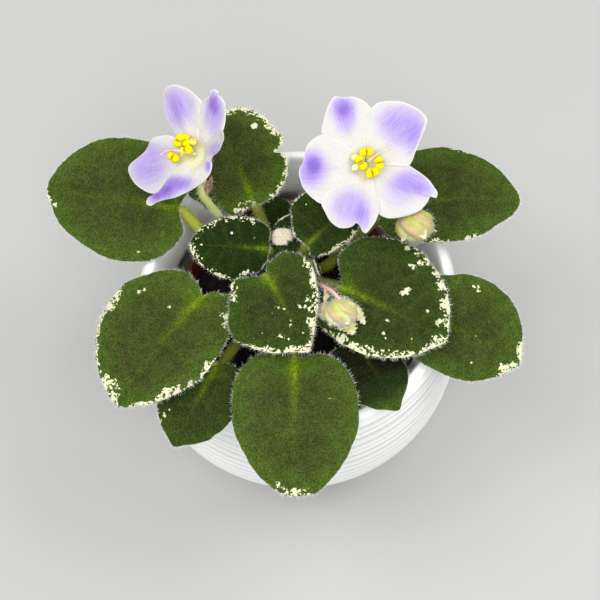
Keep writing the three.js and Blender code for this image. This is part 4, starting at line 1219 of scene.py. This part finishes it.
def build_stamens(name, flower, paints):
    """The yellow anthers in pairs on short filaments, and the thin style as a second piece."""
    matrix = seat(flower["throat"], facing_axes(flower["facing"]))
    bm = new_net()
    tube(bm, [matrix @ Vector((0, 0, z)) for z in (-2.6, 1)], [0.6, 0.5], 10, 3, slot=1)
    for pair in flower["anthers"]:
        one, other = (Vector((*spot, ANTHER_HEIGHT)) for spot in pair)
        middle = (one + other) / 2
        steps = ((0, -0.2), (0.5, 1.5), (1, ANTHER_HEIGHT))
        line = [matrix @ Vector((middle.x * share, middle.y * share, z)) for share, z in steps]
        tube(bm, line, [FILAMENT_RADIUS] * 3, 8, 8, slot=1)
        for spot, partner in ((one, other), (other, one)):
            gap = partner - spot
            anther_lobe(bm, matrix, spot, math.atan2(gap.y, gap.x))
    for x, y in flower["faded"]:
        anther_lobe(bm, matrix, Vector((x, y, ANTHER_HEIGHT - 0.6)), x, flower["fading"])
    add_piece(f"{name}_anthers", bm, [paints["anther"], paints["filament"]], [f"{name}_anthers"])

    bm = new_net()
    line = [matrix @ Vector(point) for point in [(0, 0, 1.35), *flower["style"]]]
    tube(bm, line, [STYLE_RADIUS] * len(line), THIN_STALK_SIDES, 24)
    tip = Matrix.Translation(line[-1])
    bmesh.ops.create_uvsphere(bm, u_segments=12, v_segments=8, radius=STIGMA_RADIUS, matrix=tip)
    add_piece(f"{name}_style", bm, [paints["style"]], [f"{name}_style"])


def sepal_place(matrix, start, length, width, bend, curl, pale, brown=0, ragged=0.22):
    """A narrow pointed sepal that lies along +X, bends towards +Z and turns back at its tip."""
    out = matrix.to_3x3() @ Z

    def place(ring, angle):
        ahead = (math.cos(angle) + 1) / 2
        x = start + (length - start) * (0.5 + 0.5 * ring * math.cos(angle))
        far = (x - start) / (length - start)
        y = 0.5 * width * ring * math.sin(angle) * (1 - 0.55 * far) * (1 + ragged * math.sin(13 * angle) * far)
        height = bend * far**2 - curl * max(0.0, far - 0.7) ** 2 * 9 - 0.25 * abs(y)
        rib = math.exp(-((y / (0.12 * width)) ** 2))
        edge = max(0.0, ring - 0.72) * 3
        mark = (min(1.0, pale + 2.34 * max(0.0, far - 0.62)), 0.5 * min(1, edge) * (1 - rib), brown)
        return matrix @ Vector((x, y, height)), out, mark, (x, y, 0.5 + 0.5 * ahead)

    return place


def add_loose(bm, hairs, dice, sepals):
    """Free sepals or bracts with ragged edges, each laid from one place to another."""
    for start, end, facing, width, pale, brown in sepals:
        start, gap = Vector(start), Vector(end) - Vector(start)
        ahead = gap.normalized()
        out = (Vector(facing) - ahead * ahead.dot(Vector(facing))).normalized()
        matrix = seat(start, (ahead, out.cross(ahead), out))
        place = sepal_place(matrix, 0, gap.length, width, 0.2, 0.1, pale, brown, 0.22 if brown else 0.5)
        sheet(bm, place, 48, SEPAL_RINGS, SEPAL_HALF_THICKNESS)
        hairs += rim_hairs(dice, place, 36, 0.6, out, 0.9, 0.7, 1.6)


def add_bud(bm, hairs, dice, neck, towards, length, radius, green=0.0):
    """A closed bud that hangs from its neck: folded petals inside five wrapped sepals with loose tips."""
    matrix = seat(neck, facing_axes(towards))
    marks, _ = values_of(bm)
    body = bmesh.ops.create_uvsphere(bm, u_segments=60, v_segments=26, radius=1)["verts"]
    for vert in body:
        x, y, z = vert.co
        flat = math.hypot(x, y)
        whorl = math.atan2(y, x) + 0.9 * z
        ridge = abs(math.sin(2.5 * whorl))
        seam = math.exp(-((ridge / 0.34) ** 2))
        fold = abs(math.sin(5 * whorl + 0.6))
        size = 1 + flat * (0.3 * ridge**0.7 - 0.16 + 0.1 * fold)
        vert.co = matrix @ Vector((x * size * radius, y * size * radius, (z + 1) / 2 * length))
        skin = max(0.0, min(1.0, 2.2 * (z + 0.35 - 0.55 * ridge)))
        pale = (1 - green) * min(1, 0.9 * skin + 0.15 * fold + 0.6 * seam * min(1, z + 1))
        pink = (1 - skin) * 0.95 * math.exp(-(((1 - ridge) / 0.05) ** 2)) + 0.15 * skin * (1 - fold)
        vert[marks] = (pale, pink, 0.35 * green * fold)
        if dice.random() < 0.55 * (1 - green):
            out = scatter_direction(dice, vert.co - matrix @ Vector((0, 0, 0.5 * length)), 0.5)
            hairs.append((vert.co.copy(), out, radius * dice.uniform(0.14, 0.3), HAIR_RADIUS))
    beside = Matrix.Translation((0.22 * length, 0, 0.34 * length)) @ Matrix.Rotation(math.radians(-56), 4, "Y")
    for i in range(SEPALS):
        lean = matrix @ Matrix.Rotation(math.radians(SEPAL_TURN * i), 4, "Z") @ beside
        place = sepal_place(lean, 0.12 * length, 0.62 * length, 0.46 * length, 0, 0.07 * length, 0.55)
        sheet(bm, place, 40, SEPAL_RINGS, SEPAL_HALF_THICKNESS)
        hairs += rim_hairs(dice, place, 26, 0.8, lean.to_3x3() @ Vector((0.5, 0, 1)), 0.8, 0.2 * radius)


def add_calyx(bm, matrix, hairs, dice):
    """The cup behind an open flower: a rounded receptacle with five narrow sepals."""
    marks, _ = values_of(bm)
    cup = bmesh.ops.create_uvsphere(bm, u_segments=24, v_segments=14, radius=CALYX_RADIUS, matrix=matrix)
    for vert in cup["verts"]:
        vert[marks] = (0.25, 0.1, 0)
    for i in range(SEPALS):
        turned = matrix @ Matrix.Rotation(math.radians(SEPAL_TURN * i + 20), 4, "Z")
        place = sepal_place(turned, 0.8, 4.6, 2.6, 3.4, 0.2, 0.2)
        sheet(bm, place, 20, SEPAL_RINGS, 0.3)
        hairs += rim_hairs(dice, place, 24, 0.7, turned.to_3x3() @ Vector((1, 0, -1)), 0.8, 0.8, 1.6)


def pedicel(bm, points, bud, steps):
    """The thin stalk of a bud, from its points into the bud's neck."""
    neck, out = Vector(bud["neck"]), facing_axes(bud["towards"])[2]
    line = [*map(Vector, points), neck, neck + out * 1.2]
    return tube(bm, line, [PEDICEL_RADIUS] * len(line), THIN_STALK_SIDES, steps, slot=1)


def build_stalk(name, flower, paints, dice, settings):
    """A flower's stalk and calyx, with the left one's bracts or the right one's bud, and their hairs."""
    axes = facing_axes(flower["facing"])
    throat = Vector(flower["throat"])
    bm, hairs = new_net(), []
    root = root_point(*flower["stalk_root"])
    end = throat + axes[2] * (flower["calyx"] - 0.6)
    line = [root, *out_of(root, 1.2), *map(Vector, flower["stalk"]), Vector(flower["neck"]), end]
    spine = tube(bm, line, [STALK_RADIUS] * len(line), 14, 60, slot=1)
    hairs += tube_hairs(dice, spine, settings.stalk_hairs, 1.3, skip=0.3)
    add_calyx(bm, seat(throat + axes[2] * flower["calyx"], axes), hairs, dice)
    if name == "flower_left":
        add_loose(bm, hairs, dice, BRACTS)
        hairs += tube_hairs(dice, spine, settings.stalk_hairs // 3, 2.4, skip=0.5)
    else:
        spine = pedicel(bm, BUD_BACK_STALK, BUDS["back"], 24)
        hairs += tube_hairs(dice, spine, settings.stalk_hairs // 3, 1.2)
        add_bud(bm, hairs, dice, **BUDS["back"])
    add_piece(f"{name}_stalk", bm, [paints["bud"], paints["stalk"]], [f"{name}_stalk"])
    add_piece(f"{name}_stalk_hairs", hair_net(hairs), [paints["hair"]])


def build_front_bud(paints, dice, settings):
    """The nodding bud, the small one beside it and the loose sepals, with their hairs."""
    bm, hairs = new_net(), []
    root = root_point(*BUD_FRONT_ROOT)
    spine = pedicel(bm, [root, *out_of(root, PEDICEL_RADIUS), *BUD_FRONT_STALK], BUDS["front"], 50)
    hairs += tube_hairs(dice, spine, settings.stalk_hairs // 2, 1.9, skip=0.3)
    pedicel(bm, [BUD_FRONT_STALK[2]], BUDS["side"], 10)
    add_bud(bm, hairs, dice, **BUDS["front"])
    add_bud(bm, hairs, dice, **BUDS["side"])
    add_loose(bm, hairs, dice, LOOSE_SEPALS)
    add_piece("bud_front", bm, [paints["bud"], paints["pedicel"]], ["bud_front"])
    add_piece("bud_front_hairs", hair_net(hairs), [paints["hair"]])


# Pots, soil and crown


def rounded(profile, steps):
    """A smooth line through (radius, height) places."""
    return [(point.x, point.y) for point, _ in smooth_line([(r, z, 0) for r, z in profile], steps)]


def pot_profile():
    """The ceramic pot's outline from the foot, up the ribs, over the lip and down inside.

    Each place has its radius, its height and how deep in a cove it is.
    """
    body = rounded(POT_BODY, 400)

    def radius_at(z):
        for (r0, z0), (r1, z1) in zip(body, body[1:]):
            if z1 >= z:
                return r0 + (r1 - r0) * (z - z0) / (z1 - z0)
        return body[-1][0]

    ribs, z, i = [], RIB_TOP, 0
    while z > RIB_BOTTOM:
        gap = RIB_GAPS[i % len(RIB_GAPS)]
        for step in range(RIB_STEPS):
            share = step / RIB_STEPS
            low = abs(math.sin(math.pi * share)) ** 0.8
            here = z - gap * share
            ribs.append((radius_at(here) + RIB_RISE * (1 - low), here, low**2))
        z -= gap
        i += 1
    ribs.append((radius_at(z) + RIB_RISE, z, 0))
    foot = [(0, 0, 0), (POT_FOOT_RADIUS - 1, 0, 0), (POT_FOOT_RADIUS, 0, 0), (radius_at(1.2), 1.2, 0)]
    lip = rounded([(ribs[0][0], RIB_TOP), *POT_LIP, POT_INSIDE[0]], 40)[1:]
    inner = rounded(POT_INSIDE, 60)[1:]
    return foot + ribs[::-1] + [(r, z, 0) for r, z in lip + inner] + [(0, POT_FLOOR, 0)]


def build_pot(paints, settings):
    """The ceramic pot, turned, with a value for how deep in a cove each place of its outside is."""
    bm = new_net()
    profile = pot_profile()
    marks, _ = values_of(bm)
    verts = spun(bm, [(r, z) for r, z, _ in profile], settings.pot_steps)
    outside = [(z, value) for r, z, value in profile if value > 0 or r > 50]
    for vert in verts:
        inner = math.hypot(vert.co.x, vert.co.y) < POT_INNER_SIDE and vert.co.z > 20
        nearest = min(outside, key=lambda item: abs(item[0] - vert.co.z))
        vert[marks] = (0 if inner else nearest[1], 0, 0)
    add_piece("ceramic_pot", bm, [paints["ceramic"]], ["ceramic_pot"])


def from_crown(x, y):
    """How far a place is from the middle of the crown."""
    return math.hypot(x - CROWN_FOOT[0], y - CROWN_FOOT[1])


def clods(x, y):
    """The soil's gentle heaps and hollows."""
    return math.sin(0.9 * x + 1.3 * y) + math.sin(1.7 * x - 0.8 * y)


def build_soil(paints, settings, dice):
    """The potting mix: a rough top that dips at the crown, a plain underside and loose crumbs."""
    bm = new_net()
    verts = disc(bm, 96, [(i + 1) / SOIL_RINGS for i in range(SOIL_RINGS)])
    for vert in verts:
        ring = min(1.0, vert.co.length)
        x, y = vert.co.x * SOIL_RADIUS, vert.co.y * SOIL_RADIUS
        heap = CLOD_HEIGHT * clods(x, y) * (1 if ring < 0.97 else 0.5)
        rough = 0.7 * noise.noise((0.9 * x, 0.9 * y, 3)) + 0.5 * noise.noise((2.3 * x, 2.3 * y, 7))
        dip = -1.5 * math.exp(-((max(0, from_crown(x, y) - 5) / 1.5) ** 2))
        vert.co = Vector((x, y, SOIL_Z + heap + rough + dip - SOIL_DROP_AT_WALL * ring**4))
    rim = [edge for edge in bm.edges if edge.is_boundary]
    for z, radius in ((SOIL_WAIST_Z, SOIL_WAIST_RADIUS), (SOIL_FOOT_Z, SOIL_FOOT_RADIUS)):
        new, rim = grow(bm, rim)
        for vert in new:
            flat = Vector((vert.co.x, vert.co.y, 0)).normalized() * radius
            vert.co = Vector((flat.x, flat.y, z))
    bmesh.ops.edgeloop_fill(bm, edges=rim)

    def add_crumb(batch, _):
        reach, turn = math.sqrt(dice.random()) * (SOIL_RADIUS - 2.5), dice.uniform(0, 2 * math.pi)
        x, y = reach * math.cos(turn), reach * math.sin(turn)
        if from_crown(x, y) < CROWN_RADIUS + 2:
            return
        size = dice.uniform(0.5, 1.5)
        made = bmesh.ops.create_icosphere(batch, subdivisions=1, radius=size)["verts"]
        squash = Matrix.Diagonal((dice.uniform(0.6, 1.4), dice.uniform(0.5, 1.1), dice.uniform(0.4, 0.9), 1))
        spin = Matrix.Rotation(dice.uniform(0, 6), 4, (dice.random() + 0.1, dice.random(), dice.random()))
        drop = SOIL_DROP_AT_WALL * (reach / SOIL_RADIUS) ** 4
        at = Matrix.Translation((x, y, SOIL_Z + CLOD_HEIGHT * clods(x, y) - drop + 0.3))
        bmesh.ops.transform(batch, matrix=at @ spin @ squash, verts=made)
        for vert in made:
            vert.co += 0.25 * size * noise.noise_vector(vert.co * 1.3)

    in_batches(bm, range(settings.crumbs), CRUMBS_IN_A_BATCH, add_crumb)
    add_piece("soil", bm, [paints["soil"]], ["soil"])


def build_crown(paints):
    """The short thick stem that all stalks grow from."""
    bm = new_net()
    r, top, foot = CROWN_RADIUS, CROWN_TOP, CROWN_FOOT[2]
    side = [(0, foot), (r - 0.5, foot), (r, foot + 3), (r, foot + 12)]
    shoulder = [(r, top - 2.5), (0.75 * r, top - 0.8), (0, top)]
    profile = [(max(0.0, radius), z) for radius, z in rounded(side + shoulder, 60)]
    verts = spun(bm, profile, 36, Matrix.Translation((CROWN_FOOT[0], CROWN_FOOT[1], 0)))
    for vert in verts:
        if vert.co.z > foot + 1:
            vert.co += 0.35 * noise.noise_vector(vert.co * 0.5)
    add_piece("crown", bm, [paints["stalk"]], ["crown"])


PAINTS = {}


def all_paints():
    """Every material, made once."""
    if PAINTS:
        return PAINTS
    PAINTS.update({
        "leaf": leaf_paint("velvet_leaf"),
        "petiole": stem_paint("petiole", (0.165, 0.185, 0.010), (0.10, 0.12, 0.007), (0.17, 0.11, 0.025)),
        "stalk": stem_paint("flower_stalk", (0.54, 0.58, 0.20), (0.44, 0.49, 0.14), (0.48, 0.38, 0.18)),
        "pedicel": stem_paint("bud_stalk", (0.70, 0.42, 0.36), (0.62, 0.38, 0.30), (0.66, 0.50, 0.30)),
        "petal": petal_paint("petal"),
        "anther": anther_paint("anther"),
        "filament": stem_paint("filament", (0.66, 0.62, 0.28), (0.60, 0.58, 0.26), (0.64, 0.54, 0.14)),
        "style": style_paint("style"),
        "bud": bud_paint("sepal"),
        "hair": hair_paint("leaf_hair", LEAF_HAIR),
        "down": hair_paint("leaf_down", LEAF_DOWN),
        "soil": soil_paint("peat_mix"),
        "ceramic": ceramic_paint("white_glaze"),
        "plastic": plastic_paint("nursery_plastic"),
    })
    return PAINTS


# Settings, operators and panel


class VioletLeafSettings(bpy.types.PropertyGroup):
    thickness: bpy.props.FloatProperty(
        name="Blade thickness",
        description="Thickness of a leaf blade", default=0.0009, unit="LENGTH",
    )
    hair_length: bpy.props.FloatProperty(
        name="Hair length",
        description="Length of the longest leaf hairs", default=0.0011, unit="LENGTH",
    )
    margin_hairs: bpy.props.IntProperty(
        name="Margin hairs",
        description="Hairs along the margin of a large leaf", default=560,
    )
    surface_hairs: bpy.props.IntProperty(
        name="Surface hairs",
        description="Hairs on the upper face of a large leaf", default=1600,
    )
    petiole_hairs: bpy.props.IntProperty(
        name="Petiole hairs",
        description="Hairs on a petiole for each millimetre of its radius", default=110,
    )


class VioletFlowerSettings(bpy.types.PropertyGroup):
    petal_thickness: bpy.props.FloatProperty(
        name="Petal thickness",
        description="Thickness of a petal", default=0.0006, unit="LENGTH",
    )
    stalk_hairs: bpy.props.IntProperty(
        name="Stalk hairs",
        description="Hairs on a flower stalk", default=300,
    )


class VioletPotSettings(bpy.types.PropertyGroup):
    pot_steps: bpy.props.IntProperty(
        name="Pot steps",
        description="Steps round the ceramic pot", default=192,
    )
    crumbs: bpy.props.IntProperty(
        name="Crumbs",
        description="Loose crumbs on the soil", default=500,
    )


class VioletStageSettings(bpy.types.PropertyGroup):
    floor_size: bpy.props.FloatProperty(
        name="Floor size",
        description="Side of the square floor", default=6.0, unit="LENGTH",
    )
    key_power: bpy.props.FloatProperty(
        name="Key light",
        description="Power of the main soft light", default=4.6, unit="POWER",
    )
    back_power: bpy.props.FloatProperty(
        name="Back light",
        description="Power of the soft light from the right", default=4.4, unit="POWER",
    )
    fill_power: bpy.props.FloatProperty(
        name="Fill light",
        description="Power of the second soft light", default=4.9, unit="POWER",
    )
    sky: bpy.props.FloatProperty(
        name="Sky",
        description="Strength of the even light from all round", default=0.66,
    )
    lens: bpy.props.FloatProperty(
        name="Lens",
        description="Focal length of the camera in millimetres", default=90.0,
    )


class VIOLET_OT_leaves(bpy.types.Operator):
    """Builds the twelve large leaves with petioles and hairs"""

    bl_idname = "violet.leaves"
    bl_label = "Leaves"

    def execute(self, context):
        settings = context.scene.violet_leaves
        for i, (name, leaf) in enumerate(LEAVES.items()):
            build_leaf(name, leaf, all_paints(), settings, PETIOLE_RADIUS, BLADE_NET, SEEDS["leaves"] + i)
        return {"FINISHED"}


class VIOLET_OT_young_leaves(bpy.types.Operator):
    """Builds the young leaves at the crown"""

    bl_idname = "violet.young_leaves"
    bl_label = "Young Leaves"

    def execute(self, context):
        settings = context.scene.violet_leaves
        for i, (name, leaf) in enumerate(YOUNG_LEAVES.items()):
            build_leaf(name, leaf, all_paints(), settings, YOUNG_PETIOLE_RADIUS, YOUNG_BLADE_NET,
                       SEEDS["young_leaves"] + i)
        return {"FINISHED"}


class VIOLET_OT_flowers(bpy.types.Operator):
    """Builds the two open flowers with their stalks, anthers and styles"""

    bl_idname = "violet.flowers"
    bl_label = "Flowers"

    def execute(self, context):
        settings = context.scene.violet_flowers
        dice = random.Random(SEEDS["flowers"])
        for name, flower in FLOWERS.items():
            build_corolla(name, flower, all_paints(), settings)
            build_stamens(name, flower, all_paints())
            build_stalk(name, flower, all_paints(), dice, settings)
        return {"FINISHED"}


class VIOLET_OT_front_bud(bpy.types.Operator):
    """Builds the nodding bud with the small one beside it"""

    bl_idname = "violet.front_bud"
    bl_label = "Front Bud"

    def execute(self, context):
        build_front_bud(all_paints(), random.Random(SEEDS["front_bud"]), context.scene.violet_flowers)
        return {"FINISHED"}


class VIOLET_OT_pots(bpy.types.Operator):
    """Builds the ceramic pot, dresses the nursery pot and builds soil and crown"""

    bl_idname = "violet.pots"
    bl_label = "Pots and Soil"

    def execute(self, context):
        settings = context.scene.violet_pots
        paints = all_paints()
        # without this, the fine lumps of crumbs and crown would start from the clock
        noise.seed_set(SEEDS["lumps"])
        build_pot(paints, settings)
        build_soil(paints, settings, random.Random(SEEDS["soil"]))
        build_crown(paints)
        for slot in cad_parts["nursery_pot"].material_slots:
            slot.material = paints["plastic"]
        return {"FINISHED"}


class VIOLET_OT_stage(bpy.types.Operator):
    """Adds the pale floor, the soft lights and the camera"""

    bl_idname = "violet.stage"
    bl_label = "Stage"

    def execute(self, context):
        settings = context.scene.violet_stage
        scene = context.scene
        bm = bmesh.new()
        bmesh.ops.create_grid(bm, x_segments=1, y_segments=1, size=settings.floor_size / 2)
        mesh = bpy.data.meshes.new("floor")
        bm.to_mesh(mesh)
        bm.free()
        floor = bpy.data.objects.new("floor", mesh)
        p = Paint("floor", Roughness=0.8)
        mesh.materials.append(p.finish(p.mix(p.noise(3, 2), FLOOR_DARK, FLOOR_LIGHT)))
        scene.collection.objects.link(floor)
        powers = (settings.key_power, settings.back_power, settings.fill_power)
        for (name, light), power in zip(LIGHTS.items(), powers):
            lamp = bpy.data.lights.new(name, "AREA")
            lamp.size = light["size"]
            lamp.energy = power
            holder = bpy.data.objects.new(name, lamp)
            holder.location = light["place"]
            aim = Vector(LIGHTS_AIM) - holder.location
            holder.rotation_euler = aim.to_track_quat("-Z", "Y").to_euler()
            scene.collection.objects.link(holder)
        world = bpy.data.worlds.new("soft_sky")
        world.use_nodes = True
        sky = world.node_tree.nodes["Background"]
        sky.inputs[0].default_value = SKY
        sky.inputs[1].default_value = settings.sky
        scene.world = world
        scene.view_settings.view_transform = "Standard"
        camera = bpy.data.objects.new("camera", bpy.data.cameras.new("camera"))
        camera.data.lens = settings.lens
        camera.data.sensor_width = SENSOR_WIDTH
        camera.data.clip_start = 0.01
        camera.location = CAMERA_PLACE
        camera.rotation_euler = (math.radians(CAMERA_TILT), 0, 0)
        scene.collection.objects.link(camera)
        scene.camera = camera
        return {"FINISHED"}


class VIOLET_PT_panel(bpy.types.Panel):
    """Lists the steps that build the potted african violet"""

    bl_idname = "VIOLET_PT_panel"
    bl_label = "Potted African Violet"
    bl_space_type = "VIEW_3D"
    bl_region_type = "UI"
    bl_category = "Violet"

    def draw(self, context):
        for operator in OPERATORS:
            self.layout.operator(operator.bl_idname)
        for name in SETTINGS:
            group = getattr(context.scene, name)
            for key in group.__annotations__:
                self.layout.prop(group, key)


OPERATORS = (
    VIOLET_OT_pots, VIOLET_OT_leaves, VIOLET_OT_young_leaves,
    VIOLET_OT_flowers, VIOLET_OT_front_bud, VIOLET_OT_stage,
)
SETTINGS = {
    "violet_leaves": VioletLeafSettings,
    "violet_flowers": VioletFlowerSettings,
    "violet_pots": VioletPotSettings,
    "violet_stage": VioletStageSettings,
}


def register():
    for name, group in SETTINGS.items():
        bpy.utils.register_class(group)
        setattr(bpy.types.Scene, name, bpy.props.PointerProperty(type=group))
    for item in (*OPERATORS, VIOLET_PT_panel):
        bpy.utils.register_class(item)


def unregister():
    for item in reversed((*OPERATORS, VIOLET_PT_panel)):
        bpy.utils.unregister_class(item)
    for name, group in SETTINGS.items():
        delattr(bpy.types.Scene, name)
        bpy.utils.unregister_class(group)


def main():
    register()
    bpy.ops.violet.pots()
    bpy.ops.violet.leaves()
    bpy.ops.violet.young_leaves()
    bpy.ops.violet.flowers()
    bpy.ops.violet.front_bud()
    bpy.ops.violet.stage()


if __name__ == "__main__":
    main()
